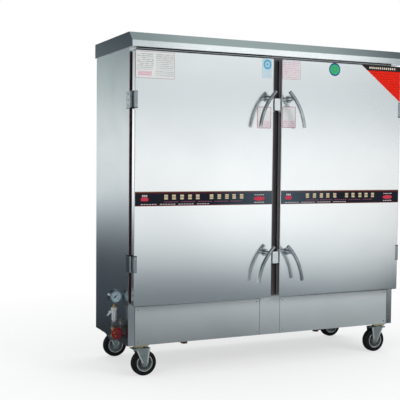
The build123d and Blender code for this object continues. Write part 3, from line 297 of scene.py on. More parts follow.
back_low, back_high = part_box("back_panel")
rivets = bmesh.new()
rivet_edge = 0.016
rivet_rows = 9
rivet_columns = 8
for row in range(rivet_rows):
    share = row / (rivet_rows - 1)
    height = back_low.z + rivet_edge + share * (back_high.z - back_low.z - 2 * rivet_edge)
    for side in (-1, 1):
        spot = (side * (back_high.x - rivet_edge), back_high.y, height)
        button_head(rivets, spot, (0, 1, 0), rivet_radius, rivet_rise, rivet_rise * 0.6)
for column in range(1, rivet_columns):
    share = column / rivet_columns
    across = back_low.x + rivet_edge + share * (back_high.x - back_low.x - 2 * rivet_edge)
    for height in (back_low.z + rivet_edge, back_high.z - rivet_edge):
        spot = (across, back_high.y, height)
        button_head(rivets, spot, (0, 1, 0), rivet_radius, rivet_rise, rivet_rise * 0.6)
piece("back_rivets", rivets, [bright_steel], "cabinet")

base_low, base_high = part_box("base_panels")
base_screws = bmesh.new()
screw_inset = 0.014
post_edge = 0.055
for side in (-1, 1):
    for across in (post_edge + screw_inset, base_high.x - screw_inset):
        for height in (base_low.z + screw_inset, base_high.z - screw_inset):
            button_head(
                base_screws, (side * across, base_low.y, height), (0, -1, 0), screw_radius, screw_rise, 0.0004
            )
piece("base_panel_screws", base_screws, [bright_steel], "cabinet")

# ---- Top cap
# One folded hood of satin sheet with a sloped front and welded ends. Its lines run across. It is
# painted darker near its corners and nearly black on the end plates, which is painted shade.
def colour_steps(tree, value, stops, blend="LINEAR"):
    """Colours set out along a value from 0 to 1, as (place, colour), where a lone number is a grey."""
    steps = node_in(tree, "ValToRGB", {"Fac": value})
    steps.color_ramp.interpolation = blend
    while len(steps.color_ramp.elements) < len(stops):
        steps.color_ramp.elements.new(0.5)
    for element, (stop, colour) in zip(steps.color_ramp.elements, stops):
        element.position = stop
        element.color = (*colour, 1) if isinstance(colour, tuple) else (colour, colour, colour, 1)
    return steps.outputs["Color"]


cap_sheet = drawn_metal(
    "Cap Sheet", (0.97, 0.98, 0.98), (0.91, 0.935, 0.94), (0.11, 0.17), (9.0, 1400.0, 1400.0), 2.6,
    (0.05, 0.0004),
)
cap_tree = cap_sheet.node_tree
cap_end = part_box("top_cap")[1].x
cap_span = spread(cap_tree, object_axis(cap_tree, "X"), 0.0, 1.0, -cap_end, cap_end)
# Painted shade: the cap darker towards both ends.
cap_end_shade = colour_steps(
    cap_tree, cap_span,
    ((0.0, 0.42), (0.06, 0.36), (0.16, 0.08), (0.26, 0.0), (0.70, 0.0), (0.84, 0.25), (0.97, 0.75)),
)
tint_over(cap_sheet, cap_end_shade, (0.36, 0.41, 0.43))
cap_across = node_in(cap_tree, "Math", {0: object_axis(cap_tree, "X")}, operation="ABSOLUTE").outputs[0]
# Painted shade: the end plates nearly black.
end_plate_shade_share = spread(cap_tree, cap_across, 0.0, 1.0, cap_end - 0.0008, cap_end - 0.0002)
tint_over(cap_sheet, end_plate_shade_share, (0.045, 0.062, 0.08))
finish(cap_sheet, "top_cap")

# ---- Compartments
# Each liner is five bright stainless sheets with a tray rack of flat bar welded inside, and a
# pressed diffuser over the steam riser. Steam leaves the sheet a little milky.
liner_sheet = drawn_metal(
    "Liner Sheet", (0.64, 0.65, 0.66), (0.56, 0.57, 0.57), (0.22, 0.38), (9.0, 9.0, 1200.0), 5.0,
    (0.05, 0.0004), low_shade=(0.56, 0.56, 0.54),
)
finish(liner_sheet, "liner_left", "liner_right", "steam_diffusers")
bar_steel = drawn_metal(
    "Rack Bar", (0.62, 0.63, 0.64), (0.52, 0.53, 0.54), (0.18, 0.30), (1200.0, 10.0, 1200.0), 9.0,
    (0.06, 0.0004),
)
finish(bar_steel, "tray_rack_left", "tray_rack_right")
wool, wool_tree, wool_shader = blank_material("Wall Wool", Roughness=0.95)
fibres = grain_in(wool_tree, (180.0, 180.0, 60.0), 20.0)
dress(
    wool_tree, wool_shader, (fibres.outputs["Cloud"], (0.70, 0.66, 0.42), (0.55, 0.50, 0.30)), None,
    (fibres.outputs["Grain"], 0.6, 0.002),
)
finish(wool, "insulation")

# ---- Doors
# Each door is a satin pan with welded corners, closed behind by a bright inner pan over foam.
# Cloths polish the front more than the sides, so it mirrors what stands near it.
# The door sheet is painted darker below half a metre, as painted shade.
door_sheet = drawn_metal(
    "Door Sheet", (0.90, 0.91, 0.915), (0.85, 0.865, 0.87), (0.14, 0.20), (1500.0, 1500.0, 8.0), 1.8,
    (0.04, 0.0004), low_shade_height=0.5, low_shade=(0.60, 0.61, 0.60),
)
finish(door_sheet, "door_skin_left", "door_skin_right")
finish(liner_sheet, "door_inner_left", "door_inner_right")
finish(back_sheet, "latch_cases_left", "latch_cases_right")

# ---- Door seals
# A moulded silicone strip in a groove round each inner pan. It is dark red and dulls with steam.
seal_rubber, seal_tree, seal_shader = blank_material("Seal Rubber", IOR=1.42, Specular_IOR_Level=0.15)
seal_grain = grain_in(seal_tree, (400.0, 400.0, 400.0), 12.0)
seal_cloud = seal_grain.outputs["Cloud"]
dress(
    seal_tree, seal_shader, (seal_cloud, (0.10, 0.012, 0.018), (0.05, 0.012, 0.018)),
    (seal_cloud, 0.5, 0.72), (seal_grain.outputs["Grain"], 0.25, 0.0005),
)
finish(seal_rubber, "door_seal_left", "door_seal_right")

# ---- Printed bands
# A gloss film strip across each door: near black with a maroon edge above and below and a tan
# line at the very top. It is paler near the handles, where hands have worn it.
band_low, band_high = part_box("door_band_left")
ink_stops = (
    (0.0, (0.16, 0.012, 0.016)),
    (0.055, (0.007, 0.009, 0.018)),
    (0.83, (0.060, 0.010, 0.016)),
    (0.955, (0.36, 0.26, 0.15)),
)
film, film_tree, film_shader = blank_material(
    "Printed Film", IOR=1.48, Specular_IOR_Level=0.1, Coat_Weight=0.05, Coat_Roughness=0.08
)
film_rise = spread(film_tree, object_axis(film_tree, "Z"), 0.0, 1.0, band_low.z, band_high.z)
film_inks = colour_steps(film_tree, film_rise, ink_stops, "CONSTANT")
from_middle = node_in(film_tree, "Math", {0: object_axis(film_tree, "X")}, operation="ABSOLUTE").outputs[0]
film_wear = spread(film_tree, from_middle, 0.0, 0.62, 0.34, 0.02)
film_cloud = grain_in(film_tree, (900.0, 900.0, 12.0), 9.0).outputs["Cloud"]
dress(
    film_tree, film_shader, (film_wear, film_inks, (0.10, 0.15, 0.19)), (film_cloud, 0.16, 0.3),
    (film_cloud, 0.08, 0.0006),
)
finish(film, "door_band_left", "door_band_right")

# ---- Marks on the bands
# Rows of plain gold squares and small dashes, with a rounded red badge at one end and a red
# oval at the other, all screen printed on the film.
ink_lift = 0.00015


def flat_ink(name, light, dark, roughness=0.32, **sockets):
    """Printed ink or sticker paper with slightly uneven colour."""
    material, tree, shader = blank_material(name, Roughness=roughness, Specular_IOR_Level=0.1, **sockets)
    grain = grain_in(tree, (900.0, 900.0, 900.0), 60.0)
    dress(tree, shader, (grain.outputs["Cloud"], light, dark), None, (grain.outputs["Grain"], 0.1, 0.0003))
    return material


gold_ink = flat_ink("Gold Ink", (0.82, 0.70, 0.48), (0.66, 0.52, 0.30))
rose_ink = flat_ink("Rose Ink", (0.34, 0.10, 0.17), (0.26, 0.07, 0.13))
pale_ink = flat_ink("Pale Ink", (0.70, 0.62, 0.60), (0.58, 0.52, 0.50))
red_ink = flat_ink("Red Ink", (0.66, 0.06, 0.10), (0.54, 0.04, 0.07))


def plate(bm, corners, back_y, front_y, ink=0):
    """A thin flat plate facing -Y, from its corners as (x, z)."""
    start = [bm.verts.new((x, back_y, z)) for x, z in corners]
    face = bm.faces.new(start)
    lifted = bmesh.ops.extrude_face_region(bm, geom=[face])["geom"]
    front_verts = [part for part in lifted if isinstance(part, bmesh.types.BMVert)]
    bmesh.ops.translate(bm, verts=front_verts, vec=(0, front_y - back_y, 0))
    for vert in start + front_verts:
        for near in vert.link_faces:
            near.material_index = ink
    return [part for part in lifted if isinstance(part, bmesh.types.BMFace)][0]


def rectangle(middle_x, middle_z, width, height):
    half_w, half_h = width / 2, height / 2
    return [
        (middle_x + side_x * half_w, middle_z + side_z * half_h)
        for side_x, side_z in ((-1, -1), (1, -1), (1, 1), (-1, 1))
    ]


def oval(middle_x, middle_z, half_width, half_height, steps=40):
    return [
        (middle_x + half_width * cos(2 * pi * n / steps), middle_z + half_height * sin(2 * pi * n / steps))
        for n in range(steps)
    ]


def rounded(middle_x, middle_z, width, height, corner, steps=5):
    """A rectangle's outline with round corners."""
    outline = []
    for turn, (side_x, side_z) in enumerate(((1, 1), (-1, 1), (-1, -1), (1, -1))):
        centre = (middle_x + side_x * (width / 2 - corner), middle_z + side_z * (height / 2 - corner))
        for n in range(steps + 1):
            angle = pi / 2 * (turn + n / steps)
            outline.append((centre[0] + corner * cos(angle), centre[1] + corner * sin(angle)))
    return outline


square_width = 0.0175
square_centre = band_high.z - 0.0245
badge_size = 0.034
oval_half = (0.028, 0.0095)
band_marks = {
    "left": {
        "squares": (-0.547, -0.510, -0.472, -0.434, -0.397, -0.330, -0.292, -0.254, -0.218, -0.180),
        "badge": -0.646,
        "oval": -0.090,
    },
    "right": {
        "squares": (0.166, 0.205, 0.243, 0.279, 0.318, 0.385, 0.422, 0.462, 0.498, 0.536),
        "badge": 0.064,
        "oval": 0.624,
    },
}
rose_row = {"share": 0.72, "height": 0.0035, "width": 0.0075, "step": 0.0115}
pale_row = {"share": 0.88, "height": 0.0035, "width": 0.0085, "step": 0.0125}
for side, marks in band_marks.items():
    print_low, print_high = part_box(f"door_band_{side}")
    back_y, front_y = print_low.y + 0.0001, print_low.y - ink_lift
    printed = bmesh.new()
    for across in marks["squares"]:
        for part_z, part_h in ((0.0068, 0.0062), (-0.0002, 0.0042), (-0.0074, 0.0058)):
            outline = rounded(across, square_centre + part_z, square_width, part_h, 0.0012, 3)
            plate(printed, outline, back_y, front_y, 0)
    rows = (
        (rose_row, marks["squares"][0] - square_width / 2, marks["squares"][-1] + square_width / 2, 1),
        (pale_row, marks["badge"] - badge_size / 2, marks["squares"][5], 2),
    )
    for row, first, last, ink in rows:
        height = print_high.z - row["share"] * (print_high.z - print_low.z)
        for n in range(int((last - first) / row["step"])):
            if n % 7 == 6:
                continue
            across = first + row["width"] / 2 + n * row["step"]
            spot = rounded(across, height, row["width"], row["height"], 0.001, 2)
            plate(printed, spot, back_y, front_y, ink)
    badge_z = square_centre - 0.009
    plate(printed, rounded(marks["badge"], badge_z, badge_size, badge_size * 0.46, 0.005), back_y, front_y, 3)
    for n in (-1, 0, 1):
        spot = rounded(marks["badge"] + n * 0.0085, badge_z + 0.0145, 0.0065, 0.0085, 0.0015, 2)
        plate(printed, spot, back_y, front_y, 2)
    plate(printed, oval(marks["oval"], square_centre - 0.011, *oval_half), back_y, front_y, 3)
    for drop in (0.006, -0.028):
        for n in range(5):
            across = marks["oval"] + (n - 2) * 0.0105
            spot = rounded(across, square_centre + drop, 0.007, 0.004, 0.001, 2)
            plate(printed, spot, back_y, front_y, 2)
    inks = [gold_ink, rose_ink, pale_ink, red_ink]
    piece(f"band_marks_{side}", printed, inks, f"door_{side}", False)

# ---- Labels
# Paper and film stickers near the top of the doors and behind the upper handles, put on by hand
# and pressed flat. They are blank or carry plain ruled rows, with a coloured edge.
skin_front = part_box("door_skin_left")[0].y
label_back = skin_front + 0.00005
label_front = skin_front - 0.00025
ink_step = 0.0001


def rows_group():
    """Ruled rows broken into short bars, as on a blank form: 1 on a bar, 0 between."""
    tree, given, made = group_tree(
        "Ruled Rows",
        {"Bar": ("Float", 14.0), "Row": ("Float", 7.0), "Gap": ("Float", 2.0)},
        ("Bars",),
    )
    stood = node_in(
        tree, "Mapping",
        {"Vector": node_in(tree, "TexCoord").outputs["Object"], "Rotation": (radians(90), 0.0, 0.0),
         "Scale": (1000.0, 1000.0, 1000.0)},
    )
    bricks = node_in(
        tree, "TexBrick",
        {"Vector": stood.outputs["Vector"], "Color1": (1, 1, 1, 1), "Color2": (0.35, 0.35, 0.35, 1),
         "Mortar": (0, 0, 0, 1), "Scale": 1.0, "Brick Width": given.outputs["Bar"],
         "Row Height": given.outputs["Row"], "Mortar Size": given.outputs["Gap"]},
    )
    tree.links.new(bricks.outputs["Color"], made.inputs["Bars"])
    return tree


ruled_rows = rows_group()


def ruled_paper(name, paper, ink, amount, bar, row, gap, roughness=0.45):
    """Sticker paper with faint ruled bars on it."""
    material, tree, shader = blank_material(name, Roughness=roughness, Specular_IOR_Level=0.1)
    rows = node_in(tree, "Group", {"Bar": bar, "Row": row, "Gap": gap}, node_tree=ruled_rows)
    faint = node_in(tree, "Math", {0: rows.outputs["Bars"], 1: amount}, operation="MULTIPLY")
    grain = grain_in(tree, (700.0, 700.0, 700.0), 3.0)
    dress(tree, shader, (faint.outputs[0], paper, ink), None, (grain.outputs["Grain"], 0.12, 0.0003))
    return material


def sticker(name, outline, border, edge, field, body, extra=()):
    """A sticker with a thin coloured edge; extra holds more plates on it as (outline, material)."""
    bm = bmesh.new()
    front = plate(bm, outline, label_back, label_front, 0)
    if border:
        bmesh.ops.inset_region(bm, faces=[front], thickness=border, depth=0.0)
    front.material_index = 1
    for n, (shape, _) in enumerate(extra):
        plate(bm, shape, label_front - n * ink_step, label_front - (n + 1) * ink_step, 2 + n)
    return piece(name, bm, [edge, field] + [ink for _, ink in extra], body, False)


paper_white = (0.86, 0.87, 0.86)
door_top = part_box("door_skin_left")[1].z
rose_edge = flat_ink("Rose Edge", (0.50, 0.26, 0.30), (0.44, 0.22, 0.26))
plain_paper = flat_ink("Plain Paper", paper_white, (0.80, 0.82, 0.81), 0.45)
grey_rows = ruled_paper("Grey Rows", paper_white, (0.20, 0.27, 0.25), 0.9, 9.0, 8.0, 1.7)
rose_rows = ruled_paper("Rose Rows", (0.84, 0.66, 0.70), (0.52, 0.14, 0.24), 0.9, 7.0, 7.5, 1.6)
sticker(
    "record_label_left", rounded(-0.6010, door_top - 0.0630, 0.178, 0.113, 0.003, 2), 0.0018, rose_edge,
    plain_paper, "door_left",
    [(rectangle(-0.6460, door_top - 0.0500, 0.074, 0.070), grey_rows),
     (rectangle(-0.5580, door_top - 0.0630, 0.082, 0.098), grey_rows),
     (rectangle(-0.6480, door_top - 0.0995, 0.061, 0.019), rose_rows)],
)
sky_film = flat_ink("Sky Film", (0.62, 0.76, 0.82), (0.58, 0.72, 0.79))
sky_ink = flat_ink("Sky Ink", (0.12, 0.48, 0.70), (0.10, 0.42, 0.64))
sticker(
    "round_mark_label", rounded(-0.0580, door_top - 0.0467, 0.052, 0.0890, 0.003, 2), 0.0, sky_film, sky_film,
    "door_left",
    [(oval(-0.0558, door_top - 0.0298, 0.0205, 0.0225), sky_ink),
     (oval(-0.0558, door_top - 0.0298, 0.0115, 0.0125), sky_film),
     (oval(-0.0558, door_top - 0.0298, 0.0060, 0.0065), sky_ink)],
)
pale_rose_rows = ruled_paper("Pale Rose Rows", (0.84, 0.79, 0.81), (0.50, 0.15, 0.26), 0.8, 8.0, 8.4, 1.9)
sticker(
    "record_label_right", rounded(0.0715, door_top - 0.0483, 0.0945, 0.0850, 0.003, 2), 0.0016, rose_edge,
    plain_paper, "door_right",
    [(rectangle(0.0715, door_top - 0.0485, 0.086, 0.076), pale_rose_rows)],
)
for side, middle, height in (("left", -0.0695, -0.2695), ("right", 0.0608, -0.2640)):
    sticker(
        f"blank_note_{side}", rounded(middle, door_top + height, 0.072, 0.097, 0.004, 2), 0.0030, rose_edge,
        plain_paper, f"door_{side}",
        [(rectangle(middle, door_top + height - 0.030, 0.062, 0.030), pale_rose_rows)],
    )
blue_rim = flat_ink("Blue Rim", (0.02, 0.07, 0.30), (0.02, 0.06, 0.25))
green_field = flat_ink("Green Field", (0.05, 0.52, 0.22), (0.04, 0.45, 0.18))
green_dark = flat_ink("Dark Green", (0.10, 0.30, 0.17), (0.08, 0.25, 0.14))
disc_middle = (0.3064, door_top - 0.0329)
sticker(
    "green_disc", oval(*disc_middle, 0.0315, 0.0305, 48), 0.0, blue_rim, blue_rim, "door_right",
    [(oval(*disc_middle, 0.0270, 0.0235), green_field),
     (oval(*disc_middle, 0.0120, 0.0110), green_dark),
     (oval(*disc_middle, 0.0085, 0.0078), green_field)],
)
corner_red = ruled_paper(
    "Corner Red", (0.84, 0.016, 0.004), (0.13, 0.004, 0.004), 0.85, 11.0, 12.0, 3.4, 0.3
)
cream_ink = flat_ink("Cream Ink", (0.86, 0.80, 0.66), (0.76, 0.68, 0.52))
corner_black = flat_ink("Corner Black", (0.025, 0.020, 0.022), (0.018, 0.016, 0.018))
pale_edge = flat_ink("Pale Edge", (0.80, 0.62, 0.60), (0.72, 0.56, 0.54))
corner_left, corner_right, corner_top, corner_tip = 0.4575, 0.6895, door_top - 0.0010, door_top - 0.1745
strip_low = corner_top - 0.025
strip_left = corner_left + (corner_right - corner_left) * (corner_top - strip_low) / (corner_top - corner_tip)
cream_dashes = [
    rectangle(strip_left + 0.016 + n * 0.0122, corner_top - 0.0125, 0.0068, 0.0095) for n in range(13)
]
sticker(
    "corner_label_field",
    [(corner_left, corner_top), (corner_right, corner_tip), (corner_right, corner_top)],
    0.0016, pale_edge, corner_red, "door_right",
)
strip = bmesh.new()
plate(
    strip,
    [(corner_left, corner_top), (strip_left, strip_low), (corner_right, strip_low),
     (corner_right, corner_top)],
    label_front, label_front - 0.0001, 0,
)
for shape in cream_dashes:
    plate(strip, shape, label_front - 0.0001, label_front - 0.0002, 1)
piece("corner_label_strip", strip, [corner_black, cream_ink], "door_right", False)

# ---- Hinges
# Two polished stainless hinges a side: a leaf on the cabinet's side, a leaf bent round the
# door's front edge, and a pin between. Three button screws hold each frame leaf and two the
# door's. The leaves' edges are painted near black, as painted shade.
hinge_steel = drawn_metal(
    "Hinge Steel", (0.46, 0.49, 0.51), (0.30, 0.33, 0.35), (0.10, 0.18), (40.0, 1500.0, 1500.0), 30.0,
    (0.04, 0.0003),
)
finish(hinge_steel, "hinge_frame_leaves", "door_hinge_leaves_left", "door_hinge_leaves_right")
leaf_low, leaf_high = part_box("hinge_frame_leaves")
hinge_half_height = 0.037
edge_shade_width = 0.0035
hinge_tree = hinge_steel.node_tree
leaves_apart = leaf_high.z - leaf_low.z
leaf_share, edge_shade_share = 2 * hinge_half_height / leaves_apart, edge_shade_width / leaves_apart
# Painted shade: near black bands along the top and bottom edges of each leaf, and along its rear edge.
edge_shade_stops = [
    (start + place, amount)
    for start in (0.0, 1.0 - leaf_share)
    for place, amount in ((0.0, 1.0), (edge_shade_share, 0.0), (leaf_share - edge_shade_share, 0.0), (leaf_share, 1.0))
]
along_leaves = spread(hinge_tree, object_axis(hinge_tree, "Z"), 0.0, 1.0, leaf_low.z, leaf_high.z)
leaf_edge_shade = (0.02, 0.024, 0.028)
tint_over(hinge_steel, colour_steps(hinge_tree, along_leaves, edge_shade_stops), leaf_edge_shade)
rear_edge_shade = spread(
    hinge_tree, object_axis(hinge_tree, "Y"), 0.0, 1.0, leaf_high.y - edge_shade_width, leaf_high.y - 0.001
)
tint_over(hinge_steel, rear_edge_shade, leaf_edge_shade)
hinge_middles = (leaf_high.z - hinge_half_height, leaf_low.z + hinge_half_height)
screw_spread = 0.024
leaf_screw_inset = 0.012
flange_screw_x = 0.6865
hinge_screws = bmesh.new()
for side in (-1, 1):
    for middle in hinge_middles:
        for rise in (-screw_spread, 0.0, screw_spread):
            spot = (side * leaf_high.x, leaf_high.y - leaf_screw_inset, middle + rise)
            button_head(hinge_screws, spot, (side, 0, 0), 0.0042, 0.0008, 0.0005)
piece("hinge_screws", hinge_screws, [bright_steel], "cabinet")
for name, side in (("left", -1), ("right", 1)):
    flange_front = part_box(f"door_hinge_leaves_{name}")[0].y
    flange_screws = bmesh.new()
    for middle in hinge_middles:
        for rise in (-screw_spread, screw_spread):
            spot = (side * flange_screw_x, flange_front, middle + rise)
            button_head(flange_screws, spot, (0, -1, 0), 0.0032, 0.0007, 0.0005)
    piece(f"flange_screws_{name}", flange_screws, [bright_steel], f"door_{name}")

# ---- Handles and keepers
# Cast and polished handles with two flutes along the bar, and polished keepers on the middle
# post that both tongues pull against. Fine polishing lines run round them.
mirror_steel = drawn_metal(
    "Mirror Steel", (0.74, 0.77, 0.79), (0.50, 0.53, 0.55), (0.03, 0.06), (500.0, 500.0, 60.0), 25.0,
    (0.015, 0.0002),
)
for level in ("upper", "lower"):
    finish(mirror_steel, f"handle_{level}_left", f"handle_{level}_right")
keeper_steel = drawn_metal(
    "Keeper Steel", (0.86, 0.87, 0.88), (0.80, 0.81, 0.83), (0.16, 0.24), (60.0, 900.0, 900.0), 30.0,
    (0.03, 0.0002),
)
finish(keeper_steel, "latch_keepers")

# ---- Steam pipe, fittings and vents
# Galvanised pipe in dull grey zinc with a frosty spangle, and malleable fittings that are
# darker and have a rough cast skin.
zinc_light = (0.72, 0.75, 0.75)
zinc_dark = (0.48, 0.51, 0.51)


def spangled(name, light, dark, rough, cell, relief, metallic):
    """Hot dip zinc: flat crystals of slightly different grey over a lumpy skin."""
    material, tree, shader = blank_material(name, Metallic=metallic)
    cells = object_pattern(tree, "TexVoronoi", Scale=cell, Randomness=1.0)
    lumps = object_pattern(tree, Scale=cell * 2.4, Detail=4.0, Roughness=0.65).outputs["Fac"]
    tone = node_in(tree, "SeparateColor", {0: cells.outputs["Color"]})
    dress(tree, shader, (tone.outputs[0], light, dark), (lumps, *rough), (lumps, *relief))
    return material


spangle_cell = 170.0
galvanised = spangled("Galvanised", zinc_light, zinc_dark, (0.34, 0.52), spangle_cell, (0.25, 0.0006), 0.6)
finish(galvanised, "steam_pipe", "vent_pipes")
cast_iron = spangled(
    "Cast Fittings", (0.34, 0.36, 0.36), (0.19, 0.205, 0.21), (0.36, 0.55), spangle_cell, (0.3, 0.0006), 0.9
)
finish(cast_iron, "steam_fittings")

# ---- Valves
# Hot pressed brass with turned faces: the gate valve, the gauge nipple and the drain valves. It
# is warm yellow where handled and brown in the corners. The safety valve is plated steel.
def cast_brass(name, bright, brown, rough, metallic):
    material, tree, shader = blank_material(name, Metallic=metallic)
    brass_stain_and_gap_shade = object_pattern(tree, Scale=70.0, Detail=5.0, Roughness=0.6).outputs["Fac"]
    skin = object_pattern(tree, Scale=900.0, Detail=3.0).outputs["Fac"]
    brown_share = spread(tree, brass_stain_and_gap_shade, 0.0, 1.0, 0.42, 0.72)
    dress(tree, shader, (brown_share, bright, brown), (brass_stain_and_gap_shade, *rough), (skin, 0.12, 0.0003))
    return material


valve_brass = cast_brass("Valve Brass", (0.70, 0.50, 0.22), (0.34, 0.21, 0.10), (0.22, 0.42), 0.7)
finish(valve_brass, "gate_valve", "gauge_nipple")
aged_brass = cast_brass("Aged Brass", (0.22, 0.15, 0.08), (0.10, 0.07, 0.045), (0.35, 0.55), 1.0)
finish(aged_brass, "drain_valves")
plated_steel = drawn_metal(
    "Plated Steel", (0.93, 0.96, 0.96), (0.80, 0.85, 0.86), (0.18, 0.30), (200.0, 200.0, 900.0), 60.0,
    (0.05, 0.0003), metallic=0.6,
)
finish(plated_steel, "safety_valve", "safety_lever")

# ---- Handwheel and drain levers
# Cast or pressed, then dipped in gloss red enamel that gathers in the corners and is worn
# through to dark primer where fingers turn it.
red_enamel, red_tree, red_shader = blank_material(
    "Red Enamel", IOR=1.5, Specular_IOR_Level=0.25, Coat_Weight=0.15, Coat_Roughness=0.12
)
red_pool = object_pattern(red_tree, Scale=120.0, Detail=4.0).outputs["Fac"]
red_share = spread(red_tree, red_pool, 0.0, 1.0, 0.35, 0.75)
dress(
    red_tree, red_shader, (red_share, (0.26, 0.006, 0.014), (0.13, 0.005, 0.010)), (red_pool, 0.2, 0.38),
    (object_pattern(red_tree, Scale=420.0, Detail=2.0).outputs["Fac"], 0.15, 0.0004),
)
finish(red_enamel, "handwheel", "drain_lever_left", "drain_lever_right")

# ---- Pressure gauge
# A pressed steel case with a white enamelled dial, a black needle and a pressed in glass. The
# dial has plain strokes and numbers from 0 to 10.
gauge_steel = drawn_metal(
    "Gauge Steel", (0.40, 0.44, 0.47), (0.22, 0.25, 0.28), (0.10, 0.18), (900.0, 20.0, 900.0), 60.0,
    (0.03, 0.0002),
)
finish(gauge_steel, "gauge_case")
dial_white = flat_ink("Dial White", (0.72, 0.92, 1.0), (0.64, 0.86, 0.95), 0.4)
finish(dial_white, "gauge_dial")
dial_black = flat_ink("Dial Black", (0.02, 0.02, 0.022), (0.015, 0.015, 0.016), 0.45)
finish(dial_black, "gauge_needle")
lens_glass, lens_tree, lens_shader = blank_material(
    "Gauge Glass", Roughness=0.02, IOR=1.45, Transmission_Weight=1.0, Alpha=0.15
)
lens_shader.inputs["Base Color"].default_value = (0.97, 0.99, 1.0, 1)
lens_haze = object_pattern(lens_tree, Scale=160.0, Detail=4.0).outputs["Fac"]
lens_tree.links.new(spread(lens_tree, lens_haze, 0.0, 0.02), lens_shader.inputs["Roughness"])
finish(lens_glass, "gauge_lens")

dial_low, dial_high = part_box("gauge_dial")
dial_middle = (dial_low + dial_high) / 2
dial_radius = (dial_high.x - dial_low.x) / 2
dial_back, dial_front = dial_low.y + 0.0001, dial_low.y - 0.0001
dial_marks = bmesh.new()
first_stroke = 225.0
stroke_sweep = 270.0
stroke_count = 50
for n in range(stroke_count + 1):
    angle = radians(first_stroke - stroke_sweep * n / stroke_count)
    long_stroke = n % 5 == 0
    inner = dial_radius * (0.74 if long_stroke else 0.82)
    outer = dial_radius * 0.92
    half = 0.00045 if long_stroke else 0.0002
    along = Vector((cos(angle), sin(angle)))
    across = Vector((-sin(angle), cos(angle))) * half
    centre = Vector((dial_middle.x, dial_middle.z))
    corners = [centre + along * r + across * k for r, k in ((inner, -1), (outer, -1), (outer, 1), (inner, 1))]
    plate(dial_marks, [tuple(c) for c in corners], dial_back, dial_front, 0)
number_size = dial_radius * 0.26
for number in range(0, 11, 2):
    angle = radians(first_stroke - stroke_sweep * number / 10)
    words = bpy.data.curves.new("dial_number", "FONT")
    words.body = str(number)
    words.size = number_size
    words.align_x = "CENTER"
    words.align_y = "CENTER"
    words.resolution_u = 3
    holder = bpy.data.objects.new("dial_number", words)
    flat = bpy.data.meshes.new_from_object(holder)
    across, up = dial_radius * 0.56 * cos(angle), dial_radius * 0.56 * sin(angle)
    stand = Matrix.Translation((dial_middle.x + across, dial_front, dial_middle.z + up)) @ Matrix.Rotation(
        radians(90), 4, "X"
    )
    flat.transform(stand)
    dial_marks.from_mesh(flat)
    bpy.data.objects.remove(holder)
    bpy.data.curves.remove(words)
    bpy.data.meshes.remove(flat)
piece("dial_marks", dial_marks, [dial_black], "cabinet", False)

# ---- Castors
# Swivel castors: pressed forks and rims in grey zinc with ribs and rolled beads, yellow zinc plates
# and black rubber tyres. The ribs are pale zinc on forks set darker, painted highlight and shade.
# Forks, rims and plates are painted darker near the floor, as painted shade.
fork_zinc = drawn_metal(
    "Fork Zinc", (0.42, 0.48, 0.49), (0.28, 0.33, 0.34), (0.34, 0.50), (120.0, 120.0, 120.0), 35.0,
    (0.06, 0.0004), 0.12, (0.40, 0.44, 0.43), metallic=0.62,
)
rim_zinc = drawn_metal(
    "Rim Zinc", (0.58, 0.64, 0.64), (0.36, 0.41, 0.42), (0.30, 0.46), (120.0, 120.0, 120.0), 45.0,
    (0.08, 0.0004), 0.12, (0.44, 0.48, 0.46), metallic=0.62,
)
plate_zinc = drawn_metal(
    "Plate Zinc", (0.80, 0.72, 0.40), (0.52, 0.44, 0.22), (0.34, 0.50), (120.0, 120.0, 120.0), 30.0,
    (0.06, 0.0004), 0.12, (0.60, 0.56, 0.44), metallic=0.62,
)
tyre_rubber, tyre_tree, tyre_shader = blank_material("Tyre Rubber", IOR=1.45, Specular_IOR_Level=0.2)
tyre_scuff = object_pattern(tyre_tree, Scale=60.0, Detail=6.0, Roughness=0.7).outputs["Fac"]
scuff_share = spread(tyre_tree, tyre_scuff, 0.0, 1.0, 0.4, 0.85)
dress(
    tyre_tree, tyre_shader, (scuff_share, (0.008, 0.009, 0.010), (0.026, 0.028, 0.028)),
    (tyre_scuff, 0.45, 0.7),
    (object_pattern(tyre_tree, Scale=900.0, Detail=2.0).outputs["Fac"], 0.3, 0.0004),
)
finish(plate_zinc, "castor_plates", "castor_bolts")
bead_zinc = drawn_metal(
    "Bead Zinc", (0.95, 0.97, 0.96), (0.84, 0.88, 0.87), (0.28, 0.40), (120.0, 120.0, 120.0), 60.0,
    (0.05, 0.0003), metallic=0.5,
)
dish_zinc = drawn_metal(
    "Dish Zinc", (0.30, 0.36, 0.36), (0.18, 0.23, 0.23), (0.35, 0.50), (120.0, 120.0, 120.0), 45.0,
    (0.08, 0.0004),
)


def turned_ring(bm, centre, side, profile, material, steps=44):
    """A ring turned about the axle, from its closed profile as (radius, distance outward)."""
    before = set(bm.faces)
    loop = [bm.verts.new((centre[0], centre[1] + side * out, centre[2] + radius)) for radius, out in profile]
    edges = [bm.edges.new((loop[n], loop[(n + 1) % len(loop)])) for n in range(len(loop))]
    bmesh.ops.spin(
        bm, geom=loop + edges, axis=(0, 1, 0), cent=centre, steps=steps, angle=2 * pi, use_merge=True
    )
    for face in set(bm.faces) - before:
        face.material_index = material


